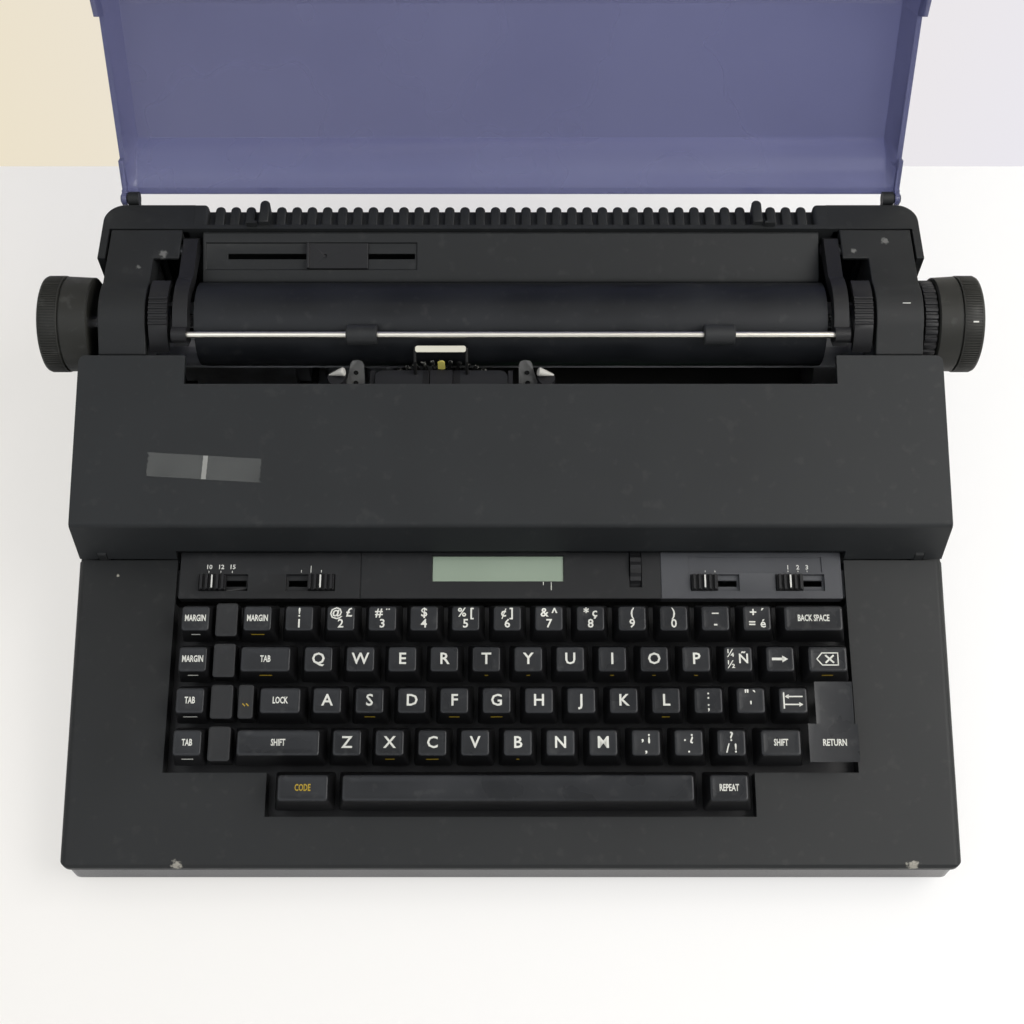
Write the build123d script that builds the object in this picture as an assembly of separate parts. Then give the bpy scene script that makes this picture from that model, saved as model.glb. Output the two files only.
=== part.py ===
"""Electronic typewriter with a daisy wheel, its clear lid open. Millimetres.

X runs to the right, Y from the front edge to the back, Z up from the table.
"""
from build123d import *
from math import atan2, cos, degrees, hypot, pi, radians, sin, tan
import os

# Pieces of one moulding run into each other by JOIN, and cutting tools run past the surface by it
JOIN = 1.0
TOOL_REACH = 40.0
TOOL_TOP = 220.0
NEAR = 1.0
ARC_STEPS = 10

# Case
CASE_HALF = 204.0
CASE_DEPTH = 308.0
FIN_PROUD = 1.0
WALL = 2.5
FOOT_HEIGHT = 8.0
FOOT_RADIUS = 12.0
FOOT_TAPER = 1.0
SPLIT_Z = 22.0
TRAY_INSET = 1.0
TRAY_CORNER = 6.0
JOINT_GAP = 0.3
CASE_CORNER = 5.0
NOSE_RADIUS = 1.2
SKIRT_WALL = 2.0
WELL_SKIRT_SHORT = 2.0
TRAY_CHAMFER = 1.5
SCREW_X = 190.0
SCREW_ROWS = (20.0, 165.0, 284.0)
SCREW_RADIUS = 1.7
SCREW_TOP = 24.0
HEAD_RADIUS = 3.4
HEAD_HEIGHT = 3.4
HEAD_THICKNESS = 2.2
BOSS_RADIUS = 4.8
BOSS_JOINT = 17.0
BOSS_TOP = 33.0
POST_RADIUS = 3.0
BOARD_Z = 14.0
MAIN_BOARD = (-70.0, 130.0, 160.0, 240.0)
FOOT_X = 168.0
FOOT_ROWS = (28.0, 272.0)
VENT_COUNT = 8
VENT_PITCH = 9.0
VENT_FRONT = 178.0
VENT_LENGTH = 42.0
VENT_WIDTH = 3.0
VENT_X = (-120.0, 30.0)

# Keyboard surround, a plane that climbs to the back
DECK_FRONT_Z = 25.8
DECK_SLOPE = 10.5
DECK_REAR = 139.2
DECK_EDGE_RADIUS = 4.0
DECK_LEDGE_DEPTH = 10.0
DECK_LEDGE_DROP = 5.0
WELL_HALF = 157.0
WELL_FRONT = 41.0
WELL_SKIRT = 9.0
SPACE_WELL_HALF = 110.0
SPACE_WELL_FRONT = 21.7

# Control panel
PANEL_HALF = 155.5
PANEL_FRONT = 120.9
PANEL_REAR = 145.0
PANEL_LIP = 6.0
PANEL_GROOVE_X = 70.5
PANEL_GROOVE = 0.6
PANEL_EDGE = 1.5
SLOT_GAP = 0.4
SWITCH_RECESS = (23.0, 8.0, 2.0)
SWITCH_ROW = 128.5
SWITCH_KNOB = (12.4, 7.2, 4.6)
SWITCH_SLOT = 3.0
SWITCH_SLOT_END = 1.0
SWITCH_STEM = 2.4
SWITCH_SIDE_GAP = 0.4
SWITCH_FLOAT = 0.2
SWITCH_PLATE = 2.6
SWITCH_RIBS = 5
SWITCH_RIB = 1.0
SWITCH_CENTRES = {"pitch": -135.0, "mode": -94.0, "keyboard": 95.9, "spacing": 135.9}
SWITCH_AT_LEFT = {"pitch": True, "mode": False, "keyboard": True, "spacing": True}
LABEL_RECESS = (62.9, 7.5, 0.6)
LABEL_X = 115.0
LABEL_Y = 137.2
DISPLAY_WINDOW = (-37.0, 25.0, 129.0, 141.5)
DISPLAY_THICKNESS = 5.0
DISPLAY_EDGE = 3.0
DISPLAY_SUNK = 0.8
WHEEL_X = 58.7
WHEEL_Y = 136.3
WHEEL_RADIUS = 12.0
WHEEL_WIDTH = 5.0
WHEEL_PROUD = 2.6
WHEEL_RIBS = 20
WHEEL_RIB = 0.5
WHEEL_PIN = 1.5

# Keys
KEY_PITCH = 19.05
KEY_TOP = (12.4, 11.2)
KEY_FLARE = 2.4
KEY_DEPTH_FLARE = 3.0
KEY_TOP_HEIGHT = 12.0
KEY_SKIRT_HEIGHT = 1.8
KEY_TRAVEL = 3.5
KEY_CORNER = 1.4
KEY_DISH_RADIUS = 28.0
KEY_DISH_DEPTH = 0.45
KEY_WALL = 1.3
KEY_STEM = 4.6
KEY_STEM_FIT = 0.15
KEY_STEM_BOTTOM = -13.0
BOTTOM_ROW = 53.2
SPACE_ROW_PITCH = 20.0
BLANK_KEY = (10.0, 15.6)
BLANK_KEY_HEIGHT = 9.5
BLANK_KEY_FLARE = 0.4
PLATE_TOP = -9.3
PLATE_THICKNESS = 2.0
SLEEVE_HEIGHT = 5.0
SLEEVE_WALL = 1.2
BOARD_THICKNESS = 1.6
KEY_BOARD_TOP = -14.2
KEY_BOARD_BOTTOM = -19.0
SPACER_RADIUS = 2.5
SPACER_INSET = 4.0
BLANK_X = -130.5
NARROW_KEY = (-119.6, 6.9)
RETURN_UPPER = (145.4, 12.2)
RETURN_LOWER = (144.2, 17.5)
MARGIN_FLARE = 1.2

# Rows of keys from the front: the row, the middle of its first key and the number of letter-sized keys
SPACE_ROW, BOTTOM, HOME, UPPER, NUMBERS = range(5)
LETTER_ROWS = {
    "number_keys": (NUMBERS, -96.8, 12),
    "upper_letter_keys": (UPPER, -87.25, 11),
    "home_letter_keys": (HOME, -82.5, 11),
    "lower_letter_keys": (BOTTOM, -73.0, 10),
}

# The other keys: the row, the middle and the top width of each
OTHER_KEYS = {
    "margin_keys": [
        (NUMBERS, -144.3, 12.4), (UPPER, -144.3, 12.4), (HOME, -144.3, 12.4), (BOTTOM, -144.3, 12.4),
        (NUMBERS, -115.9, 12.4),
    ],
    "correction_keys": [
        (UPPER, 122.3, 12.4),
        (UPPER, 143.9, 17.2),
        (HOME, 127.1, 12.4),
        (NUMBERS, 138.6, 26.4),
    ],
    "tab_lock_keys": [(UPPER, -111.3, 22.1), (HOME, -103.7, 17.8)],
    "shift_keys": [(BOTTOM, -103.7, 36.6), (BOTTOM, 120.5, 17.5)],
    "code_repeat_keys": [(SPACE_ROW, -91.9, 22.0), (SPACE_ROW, 96.5, 16.6)],
    "space_bar": [(SPACE_ROW, 3.3, 155.2)],
}

# Access cover over the print mechanism
COVER_HALF = 203.0
COVER_WALL = 2.5
COVER_FRONT = (139.4, 52.6)
COVER_RIDGE = (144.0, 77.0)
COVER_BACK = (222.0, 101.0)
COVER_SKIRT_BACK = 88.0
COVER_LIP_Z = 58.4
COVER_CUT_HALF = 153.0
COVER_CUT_FRONT = 208.7
COVER_EDGE_RADIUS = 3.0
COVER_PIVOT = (141.8, 55.2)
COVER_PIN_RADIUS = 1.4
COVER_LUG_RADIUS = 2.3
COVER_LUG_X = (190.0, 194.0)
COVER_PIN_X = (186.0, 198.0)
COVER_BOSS_RADIUS = 2.9
COVER_RIM_Z = 90.0
COVER_SLIT = 10.0
SKIRT_GAP = 0.5
PIN_FIT = 0.06

# Rear case
UPPER_HALF = 199.5
UPPER_WALL = 3.5
SHOULDER_Z = 60.0
KNOB_BAY = (222.4, 274.0)
KNOB_BAY_Z = 64.0
REAR_TOP = 108.0
REAR_WALL_Y = 294.7
REAR_CORNER = 10.0
BLOCK_INNER = 155.3
FIN_COUNT = 39
FIN_PITCH = 7.9
FIN_WIDTH = 5.0
FIN_TOP = 106.0
TALL_FIN = 3
TALL_FIN_TOP = 111.0
FIN_BOTTOM = 30.0

# Paper table
TABLE_LIP = (290.7, 106.0)
TABLE_FOOT = (271.0, 96.0)
TABLE_HALF = 150.5
TABLE_WALL = 2.0
TABLE_DROP = 12.0
TABLE_NOSE = 1.2
TABLE_HOOK = 9.0
GUIDE_RECESS = (-149.0, -45.9, 0.9)
GUIDE_SLOT = (-138.2, -47.0, 2.4)
GUIDE_X = -84.6
GUIDE_SIZE = (30.0, 12.5, 3.0)
GUIDE_STEM = (6.0, 2.0)
GUIDE_FLOAT = 0.2
GUIDE_PLATE = 1.4

# Platen
PLATEN_Y = 249.5
PLATEN_Z = 88.0
PLATEN_RADIUS = 20.0
PLATEN_HALF = 150.0
SHAFT_RADIUS = 5.0
SHAFT_FIT = 0.06
KNOB_RADIUS = 23.25
KNOB_OUTER = 224.0
KNOB_BAND = 10.0
KNOB_HUB_RADIUS = 19.5
LEFT_HUB_INNER = 200.3
RIGHT_HUB_INNER = 202.8
KNOB_GROOVES = 40
KNOB_DISH = 2.0
KNOB_DISH_SLOPE = 2.0
KNOB_RIM = 6.0
KNOB_FLANGE = 1.5
KNOB_ROUND = 0.6
KNOB_EDGE = 2.5
KNOB_GROOVE = 1.1
RING_X = (196.2, 202.2)
RING_RADIUS = 21.0
RING_TEETH = 36
RING_TOOTH = 0.9
RING_TOOTH_RISE = (0.3, 0.4, 0.9)

# Platen drive, plain spur gears
GEAR_MODULE = 1.0
PLATEN_TEETH = 38
IDLER_TEETH = 20
PINION_TEETH = 10
GEAR_X = (181.0, 186.0)
GEAR_BACKLASH = 0.16
MESH_GAP = 0.12
PRESSURE_ANGLE = 20.0
GEAR_ADDENDUM = 0.85
GEAR_DEDENDUM = 1.25
FLANK_STEPS = 2
PINION_COLLAR_GAP = 0.2
IDLER_ANGLE = -70.0
PINION_ANGLE = -101.0
MOTOR_RADIUS = 17.5
MOTOR_LENGTH = 24.0
MOTOR_SHAFT = 2.0
IDLER_PIN = 3.0

# Feed rollers and pan under the platen
FEED_RADIUS = 6.0
FEED_SHAFT = 2.5
FEED_GAP = 0.3
FEED_ANGLE = -58.0
FEED_X = (-105.0, -35.0, 35.0, 105.0)
FEED_WIDTH = 28.0
PAN_RADIUS = 21.2
PAN_SHEET = 0.8
PAN_HALF = 175.7
PAN_ANGLES = (-128.0, -24.0)
PAN_WINDOW = (2.0, 1.0, 3.0)

# Levers beside the platen
LEVER_X = (161.9, 170.7)
LEVER_RADIUS = 23.8
LEVER_HUB = 9.0
LEVER_RIM = 3.0
LEVER_SECTOR = (66.0, 160.0)
LEVER_RIBS = 6
LEVER_RIB = 0.7
LEVER_RIB_ANGLE = 95.0
LEVER_RIB_PITCH = 6.0
LEVER_WEB = 2.0
LEVER_HUB_WIDTH = 5.0

# Paper bail
BAIL_PIVOT = (287.0, 98.5)
BAIL_ARM_X = (152.3, 159.3)
BAIL_ARM_TOP = 107.0
BAIL_OUTER = 23.8
BAIL_INNER = 17.5
BAIL_ROD = (231.0, 105.0)
BAIL_ROD_RADIUS = 1.5
BAIL_BOSS = 3.6
BAIL_END = 152.0
BAIL_CORNER = 4.0
BAIL_PIN_RADIUS = 2.5
ROLLER_RADIUS = 4.8
ROLLER_WIDTH = 14.6
ROLLER_CHAMFER = 0.6
ROLLER_X = (-70.0, 98.0)

# End covers
END_X = (160.3, 195.0)
BULGE_X = 172.6
END_WALL = 1.8
BULGE_RADIUS = 22.3
END_FRONT = 224.9
END_FRONT_Z = 97.5
END_BACK = 291.9
END_FLAT_Z = 107.7
END_BOTTOM = 66.0
END_INNER_BOTTOM = 94.0
END_LIP = 8.0
END_SHAFT_GAP = 1.2
BULGE_START = 137.0
BULGE_STEPS = 8
NOTCH_BACK = 274.5

# Frame and rails
FRAME_X = (176.0, 178.0)
FRAME_OUTLINE = [
    (166.0, 10.5), (166.0, 64.6), (228.6, 64.6), (228.6, 82.0), (238.0, 95.0), (262.0, 95.0), (280.0, 103.6),
    (289.8, 103.6), (289.8, 10.5),
]
RAIL_RADIUS = 5.0
FRONT_RAIL = (178.0, 56.0)
REAR_RAIL = (212.0, 34.0)
RAIL_FIT = 0.05

# Carriage
CARRIAGE_SIDE = [
    (169.0, 47.0), (169.0, 68.0), (186.0, 84.0), (225.0, 84.0), (225.0, 60.0), (220.0, 26.6), (204.8, 26.6),
    (204.8, 40.0), (192.0, 41.0),
]
CARRIAGE_FLOOR = (184.0, 207.0, 40.0)
PRINT_X = -33.2
CARRIAGE_HALF = 34.2
CARRIAGE_LEFT = 76.8
CARRIAGE_RIGHT = 143.2
PLATE_OFFSET = 40.5
TIP_OFFSET = 50.4
CASSETTE_TOP = 86.0
CASSETTE_Y = (187.0, 225.0)
PRINT_WHEEL_Y = 226.6
PRINT_WHEEL_Z = 56.0
PRINT_WHEEL_RADIUS = 34.0
PETALS = 48
PETAL_WIDTH = 1.5
HAMMER_RADIUS = 2.0
HAMMER_Z = 81.0
HAMMER_TIP = 224.0
HAMMER_TRAVEL = 1.9
HAMMER_BACK = 206.0
HAMMER_BLOCK = 5.4
HAMMER_BLOCK_BACK = 196.0
HAMMER_BORE = 200.0
PETAL_ROOT = 15.0
PETAL_HEAD = 2.0
PETAL_HEAD_LENGTH = 2.8
PETAL_SHEET = 0.8
WHEEL_HUB = (11.0, 2.4)
WHEEL_SHAFT = 1.5
WHEEL_SHAFT_BACK = 213.0
WHEEL_MOTOR_RADIUS = 12.0
WHEEL_MOTOR_BACK = 204.0
PLATE = 2.2
BEARING_WALL = 2.4
SHELF_Z = 70.5
BULKHEAD_Y = (222.0, 224.2)
CLAMP_WIDTH = 12.0
CLAMP_Y = (185.6, 191.2)
CASSETTE_CORNER = 4.0
SPOOL_RADIUS = 5.0
SPOOL_HEIGHT = 1.2
SPOOL_PLACE = (16.3, 200.0)
LOOP_RADIUS = 0.8
LOOP_HALF = 12.3
LOOP_PATH = [(222.0, 86.0), (222.0, 87.0), (223.8, 93.4), (228.0, 97.6)]
PLATE_Y = (226.0, 227.2)
PLATE_OUTLINE = [
    (-5.0, 66.0), (5.0, 66.0), (5.0, 78.0), (2.5, 83.0), (2.5, 88.0), (0.5, 90.4), (-3.8, 90.4), (-3.8, 83.0),
    (-5.0, 80.0),
]
SIGHT_HOLES = (84.8, 79.6)
SIGHT_HOLE_X = -0.4
SIGHT_HOLE_RADIUS = 1.2
PLATE_FOOT = (212.0, 64.0, 66.5)
PLATE_HOOK = (222.0, 58.0, 1.5)
PLATE_FIT = 0.05
ARM_Y = (200.0, 210.0, 224.0)
ARM_Z = (52.0, 56.0)
ARM_HALF = 3.0
TIP_POST_RADIUS = 4.0
TIP_POST_Y = 220.5
TIP_Z = 84.6
TIP_HEIGHT = 3.4
TIP_TAPER = 14.0
TIP_OUTLINE = [(-4.0, 216.6), (1.5, 216.6), (5.2, 219.2), (1.0, 224.4), (-2.2, 224.4), (-4.0, 222.0)]

# Belt drive
BELT_Z = (31.0, 37.0)
BELT_Y = 196.0
PULLEY_X = 152.0
PULLEY_RADIUS = 7.0
BELT_THICKNESS = 1.2
BELT_FIT = 0.08
PULLEY_PIN = 2.5
PULLEY_PIN_PROUD = 1.0
PULLEY_SIDE = 0.3
PULLEY_FLANGE = 1.1
IDLER_POST_RADIUS = 6.0
CARRIAGE_MOTOR_RADIUS = 18.0
CARRIAGE_MOTOR_TOP = 26.0

# Larger parts on the main board: chips in a row and round capacitors; then the power supply
CHIP = (18.0, 38.0, 4.0)
CHIP_COUNT = 4
CHIP_FIRST = 40.0
CHIP_PITCH = 26.0
CHIP_FRONT = 14.0
CAN = (5.0, 9.0)
CAN_COUNT = 3
CAN_X = 16.0
CAN_FIRST = 20.0
CAN_PITCH = 16.0
SUPPLY = (-165.0, -40.0, 256.0, 289.0)
CORE = (52.0, 40.0, 4.0)
WINDING = (7.0, 4.0, 7.0, 33.0)
SUPPLY_BOARD_X = 62.0
SUPPLY_CAN = (8.0, 28.0)
SUPPLY_CAN_FIRST = 74.0
SUPPLY_CAN_PITCH = 22.0

# Lid, drawn closed and turned open about its pins
LID_PIVOT = (311.5, 107.5)
LID_OPEN = 118.0
LID_HALF = 192.0
LID_TOP_HALF = 188.0
LID_WALL = 2.4
LID_REAR_RIM = 108.9
LID_STEP_Y = 292.6
LID_MAIN_RIM = 112.8
LID_SKIN_Z = 131.0
LID_FLAT_FRONT = 222.0
LID_SLOPE = 18.0
LID_FRONT = 6.0
LID_CLEAR = 1.4
LID_DRAFT_DEPTH = 17.0
LID_PIN_RADIUS = 2.0
LUG_X = (183.6, 188.8)
LUG_RADIUS = 3.4
PIN_PROUD = 0.6
LID_EAR = 3.2
LID_REAR_SKIN = 116.0
LID_STEP_RUN = 8.0
LID_STEP_CREST = 5.5
LID_RIM_SET_BACK = 3.0
LID_RIM_RISE = 1.0
LID_TAPER = 0.4
LID_RIM_CLEAR = 2.0
LID_REAR_CLEAR = 6.0

# Mains inlet
INLET_AT = (-177.5, 44.0)
INLET_BODY = (27.0, 19.6)
INLET_FLANGE = (30.6, 24.0)
INLET_SOCKET = (24.4, 16.6)
INLET_DEPTH = 15.6
INLET_HOLLOW = 13.0
INLET_FIT = 0.3
INLET_RIM = 1.0
INLET_PIN = (2.0, 4.0)
INLET_PIN_PLACES = ((-7.0, -2.0), (0.0, 2.0), (7.0, -2.0))
INLET_PIN_SET_BACK = 3.0


BACK_FACE = CASE_DEPTH - FIN_PROUD


def yz_prism(points, x0, x1):
    """A closed outline in Y and Z, drawn out along X."""
    outline = Plane.YZ.offset(min(x0, x1)) * make_face(Polyline(*points, close=True))
    return extrude(outline, abs(x1 - x0))


def block(x0, x1, y0, y1, z0, z1):
    return Pos((x0 + x1) / 2, (y0 + y1) / 2, (z0 + z1) / 2) * Box(abs(x1 - x0), abs(y1 - y0), abs(z1 - z0))


def rod_x(y, z, radius, x0, x1):
    return Pos((x0 + x1) / 2, y, z) * Rot(0, 90, 0) * Cylinder(radius, abs(x1 - x0))


def rod_y(x, z, radius, y0, y1):
    return Pos(x, (y0 + y1) / 2, z) * Rot(90, 0, 0) * Cylinder(radius, abs(y1 - y0))


def rod_z(x, y, radius, z0, z1):
    return Pos(x, y, (z0 + z1) / 2) * Cylinder(radius, abs(z1 - z0))


def polar(centre, radius, angle):
    """A point in Y and Z at an angle from +Y towards +Z."""
    return (centre[0] + radius * cos(radians(angle)), centre[1] + radius * sin(radians(angle)))


def arc_points(centre, radius, start, end, steps):
    return [polar(centre, radius, start + (end - start) * i / steps) for i in range(steps + 1)]


def both_sides(solid):
    return [solid, mirror(solid, about=Plane.YZ)]


def group(*solids):
    return Compound(children=[s for s in solids])


DECK_RISE = tan(radians(DECK_SLOPE))
DECK = Plane(
    origin=(0, 0, DECK_FRONT_Z),
    x_dir=(1, 0, 0),
    z_dir=(0, -sin(radians(DECK_SLOPE)), cos(radians(DECK_SLOPE))),
)


def deck_z(y):
    return DECK_FRONT_Z + y * DECK_RISE


def up_deck(y):
    """Distance up the sloping deck of a point above the plan position y."""
    return y / cos(radians(DECK_SLOPE))


def deck_block(x0, x1, v0, v1, w0, w1):
    """A block on the deck: v runs up the slope, w is square to it."""
    return DECK * block(x0, x1, v0, v1, w0, w1)


def deck_profile(inset, bottom):
    """The side view of the keyboard surround, drawn in by a wall."""
    ledge_back = DECK_REAR + DECK_LEDGE_DEPTH
    front = inset
    step = DECK_REAR - inset
    drop = DECK_LEDGE_DROP + inset
    reach = ledge_back + inset
    return [
        (front, bottom),
        (front, deck_z(front) - inset - NOSE_RADIUS),
        (front + NOSE_RADIUS, deck_z(front + NOSE_RADIUS) - inset),
        (step, deck_z(step) - inset),
        (step, deck_z(step) - drop),
        (reach, deck_z(reach) - drop),
        (reach, bottom),
    ]


def plan_prism(half, y0, y1, corner, z0, z1):
    """A block with its four upright edges rounded."""
    outline = Pos(0, (y0 + y1) / 2, z0) * RectangleRounded(2 * half, y1 - y0, corner)
    return extrude(outline, z1 - z0)


def deck_bar(half, radius):
    """A long bar under the deck plane whose two top edges are rounded."""
    depth = 4 * CASE_HALF
    section = DECK * Plane.XZ * Pos(0, -depth / 2) * RectangleRounded(2 * half, depth, radius)
    return extrude(section, -depth, both=True)


def key_wells():
    rear = up_deck(DECK_REAR + DECK_LEDGE_DEPTH) + WALL
    front = up_deck(WELL_FRONT)
    space = up_deck(SPACE_WELL_FRONT)
    deep = 3 * SPLIT_Z
    wells = deck_block(-WELL_HALF, WELL_HALF, front, rear, -deep, deep)
    return wells + deck_block(-SPACE_WELL_HALF, SPACE_WELL_HALF, space, front + WALL, -deep, deep)


def well_skirts():
    """The walls that hang from the edges of the key wells."""
    front = up_deck(WELL_FRONT)
    space = up_deck(SPACE_WELL_FRONT)
    back = up_deck(PANEL_FRONT - WELL_SKIRT_SHORT)
    out = WELL_HALF + SKIRT_WALL
    skirts = deck_block(-out, out, front - SKIRT_WALL, back, -WELL_SKIRT, -WALL / 2)
    out = SPACE_WELL_HALF + SKIRT_WALL
    return skirts + deck_block(-out, out, space - SKIRT_WALL, front, -WELL_SKIRT, -WALL / 2)


def cover_lug(x0, x1, growth):
    """A lug that stands on the deck's ledge and carries one of the cover's pins."""
    y, z = COVER_PIVOT
    radius = COVER_LUG_RADIUS + growth
    foot = deck_z(y) - DECK_LEDGE_DROP - WALL / 2
    return rod_x(y, z, radius, x0, x1) + block(x0, x1, y - radius, y + radius, foot, z)


def screw_boss(x, y, bottom, top):
    return rod_z(x, y, BOSS_RADIUS, bottom, top)


def screw_hole(x, y, top):
    return rod_z(x, y, SCREW_RADIUS + PIN_FIT, BOSS_JOINT, top)


def keyboard_deck():
    """The surround of the keyboard: an open shell with the two key wells in it."""
    back = DECK_REAR + DECK_LEDGE_DEPTH
    outer = yz_prism(deck_profile(0, SPLIT_Z), -CASE_HALF, CASE_HALF)
    outer &= plan_prism(CASE_HALF, 0, back + 4 * CASE_CORNER, CASE_CORNER, 0, REAR_TOP)
    outer &= deck_bar(CASE_HALF, DECK_EDGE_RADIUS)
    half = CASE_HALF - WALL
    inner = yz_prism(deck_profile(WALL, SPLIT_Z - WALL), -half, half)
    inner &= plan_prism(half, WALL, back + 4 * CASE_CORNER, CASE_CORNER - WALL, 0, REAR_TOP)
    shell = outer - inner + well_skirts()
    for side in (-1, 1):
        x, y = side * SCREW_X, SCREW_ROWS[0]
        shell += screw_boss(x, y, BOSS_JOINT + JOINT_GAP, deck_z(y) - WALL / 2)
    shell -= key_wells()
    for side in (-1, 1):
        shell -= screw_hole(side * SCREW_X, SCREW_ROWS[0], SCREW_TOP + WALL / 2)
        lug = cover_lug(side * COVER_LUG_X[0], side * COVER_LUG_X[1], 0)
        y, z = COVER_PIVOT
        pin = rod_x(y, z, COVER_PIN_RADIUS, side * COVER_PIN_X[0], side * COVER_PIN_X[1])
        shell += lug + pin
    return shell


def base_tray():
    """The bottom moulding, with cooling slots and the six screw bosses."""
    half = CASE_HALF - TRAY_INSET
    y0, y1 = TRAY_INSET, BACK_FACE - TRAY_INSET
    tray = plan_prism(half, y0, y1, TRAY_CORNER, FOOT_HEIGHT, SPLIT_Z)
    tray = chamfer(tray.faces().sort_by(Axis.Z)[0].edges(), TRAY_CHAMFER)
    tray -= plan_prism(
        half - WALL, y0 + WALL, y1 - WALL, TRAY_CORNER - WALL, FOOT_HEIGHT + WALL, SPLIT_Z + WALL
    )
    for side in (-1, 1):
        for y in SCREW_ROWS:
            tray += screw_boss(side * SCREW_X, y, FOOT_HEIGHT, BOSS_JOINT)
    for x, y in board_posts():
        tray += rod_z(x, y, POST_RADIUS, FOOT_HEIGHT, BOARD_Z)
    tray += rod_z(PULLEY_X, BELT_Y, IDLER_POST_RADIUS, FOOT_HEIGHT, CARRIAGE_MOTOR_TOP)
    tray += rod_z(PULLEY_X, BELT_Y, PULLEY_PIN, FOOT_HEIGHT, BELT_Z[1] + PULLEY_PIN_PROUD)
    for side in (-1, 1):
        for y in SCREW_ROWS:
            x = side * SCREW_X
            tray -= rod_z(x, y, SCREW_RADIUS + JOINT_GAP, FOOT_HEIGHT - WALL, SPLIT_Z)
            tray -= rod_z(x, y, HEAD_RADIUS + JOINT_GAP, FOOT_HEIGHT - WALL, FOOT_HEIGHT + HEAD_HEIGHT)
    for i in range(VENT_COUNT):
        for x in VENT_X:
            y = VENT_FRONT + i * VENT_PITCH
            slot = Pos(x, y) * SlotOverall(VENT_LENGTH, VENT_WIDTH)
            tray -= extrude(Pos(0, 0, FOOT_HEIGHT - WALL) * slot, 3 * WALL)
    return tray


def board_posts():
    x0, x1, y0, y1 = MAIN_BOARD
    inset = 2 * POST_RADIUS
    return [(x, y) for x in (x0 + inset, x1 - inset) for y in (y0 + inset, y1 - inset)]


def feet():
    """Four round rubber feet, tapered a little."""
    out = []
    for x in (-FOOT_X, FOOT_X):
        for y in FOOT_ROWS:
            foot = Pos(x, y, FOOT_HEIGHT / 2) * Cone(FOOT_RADIUS - FOOT_TAPER, FOOT_RADIUS, FOOT_HEIGHT)
            out.append(foot)
    return group(*out)


def case_screws():
    """Six screws driven up through the tray into the two housings."""
    out = []
    for x in (-SCREW_X, SCREW_X):
        for y in SCREW_ROWS:
            top = FOOT_HEIGHT + HEAD_HEIGHT - PIN_FIT
            head = rod_z(x, y, HEAD_RADIUS, top - HEAD_THICKNESS, top)
            out.append(head + rod_z(x, y, SCREW_RADIUS, top - HEAD_THICKNESS / 2, SCREW_TOP))
    return group(*out)


def skirt_line(y):
    """Height of the cover's lower edge above the plan position y."""
    y0, z0 = COVER_FRONT
    return z0 + (y - y0) * (COVER_SKIRT_BACK - z0) / (COVER_BACK[0] - y0)


def rear_case():
    """The back moulding: side walls, knob bays, corner blocks and the finned back."""
    y0 = DECK_REAR + DECK_LEDGE_DEPTH + JOINT_GAP
    y1 = BACK_FACE
    step = KNOB_BAY[0]
    low = [
        (y0, SPLIT_Z),
        (y0, skirt_line(y0) - SKIRT_GAP),
        (step, skirt_line(step) - SKIRT_GAP),
        (step, SHOULDER_Z),
        (y1, SHOULDER_Z),
        (y1, SPLIT_Z),
    ]
    lower = yz_prism(low, -CASE_HALF, CASE_HALF)
    lower &= plan_prism(CASE_HALF, y0 - TOOL_REACH, y1, REAR_CORNER, 0, TOOL_TOP)
    room = plan_prism(
        CASE_HALF - WALL, y0 - TOOL_REACH, y1 - WALL, REAR_CORNER - WALL, 0, SHOULDER_Z - WALL
    )
    lower -= room
    lower -= block(-CASE_HALF + WALL, CASE_HALF - WALL, y0 - WALL, step - WALL, 0, REAR_TOP)
    back = [
        (step - WALL, SHOULDER_Z - WALL),
        (step - WALL, KNOB_BAY_Z),
        (KNOB_BAY[1], KNOB_BAY_Z),
        (KNOB_BAY[1], REAR_TOP),
        (y1, REAR_TOP),
        (y1, SHOULDER_Z - WALL),
    ]
    upper = yz_prism(back, -UPPER_HALF, UPPER_HALF)
    upper &= plan_prism(UPPER_HALF, y0 - TOOL_REACH, y1, REAR_CORNER, 0, TOOL_TOP)
    case = lower + upper
    half = UPPER_HALF - UPPER_WALL
    case -= block(-half, half, step - 2 * WALL, REAR_WALL_Y - WALL, SHOULDER_Z - 2 * WALL, TOOL_TOP)
    case -= block(-half, half, step, y1 - WALL, SPLIT_Z, REAR_TOP - WALL)
    case -= block(-BLOCK_INNER, BLOCK_INNER, REAR_WALL_Y, CASE_DEPTH, FIN_BOTTOM, TOOL_TOP)
    inner = BLOCK_INNER + WALL
    case += block(-inner, inner, REAR_WALL_Y - WALL, REAR_WALL_Y, SPLIT_Z, FIN_TOP)
    case += block(-inner, inner, REAR_WALL_Y - WALL, y1 - WALL / 2, FIN_BOTTOM - WALL, FIN_BOTTOM)
    for solid in both_sides(block(BLOCK_INNER, inner, REAR_WALL_Y - WALL, y1 - WALL / 2, SPLIT_Z, REAR_TOP)):
        case += solid
    case += back_fins()
    for side in (-1, 1):
        for y in SCREW_ROWS[1:]:
            case += screw_boss(side * SCREW_X, y, BOSS_JOINT + JOINT_GAP, BOSS_TOP)
            web = CASE_HALF - WALL / 2
            half_web = WALL / 2
            case += block(side * SCREW_X, side * web, y - half_web, y + half_web, SPLIT_Z, BOSS_TOP)
        for y in SCREW_ROWS[1:]:
            case -= screw_hole(side * SCREW_X, y, SCREW_TOP + WALL / 2)
        case += lid_lug(side)
    return case - inlet_cutout(INLET_FIT)


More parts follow.
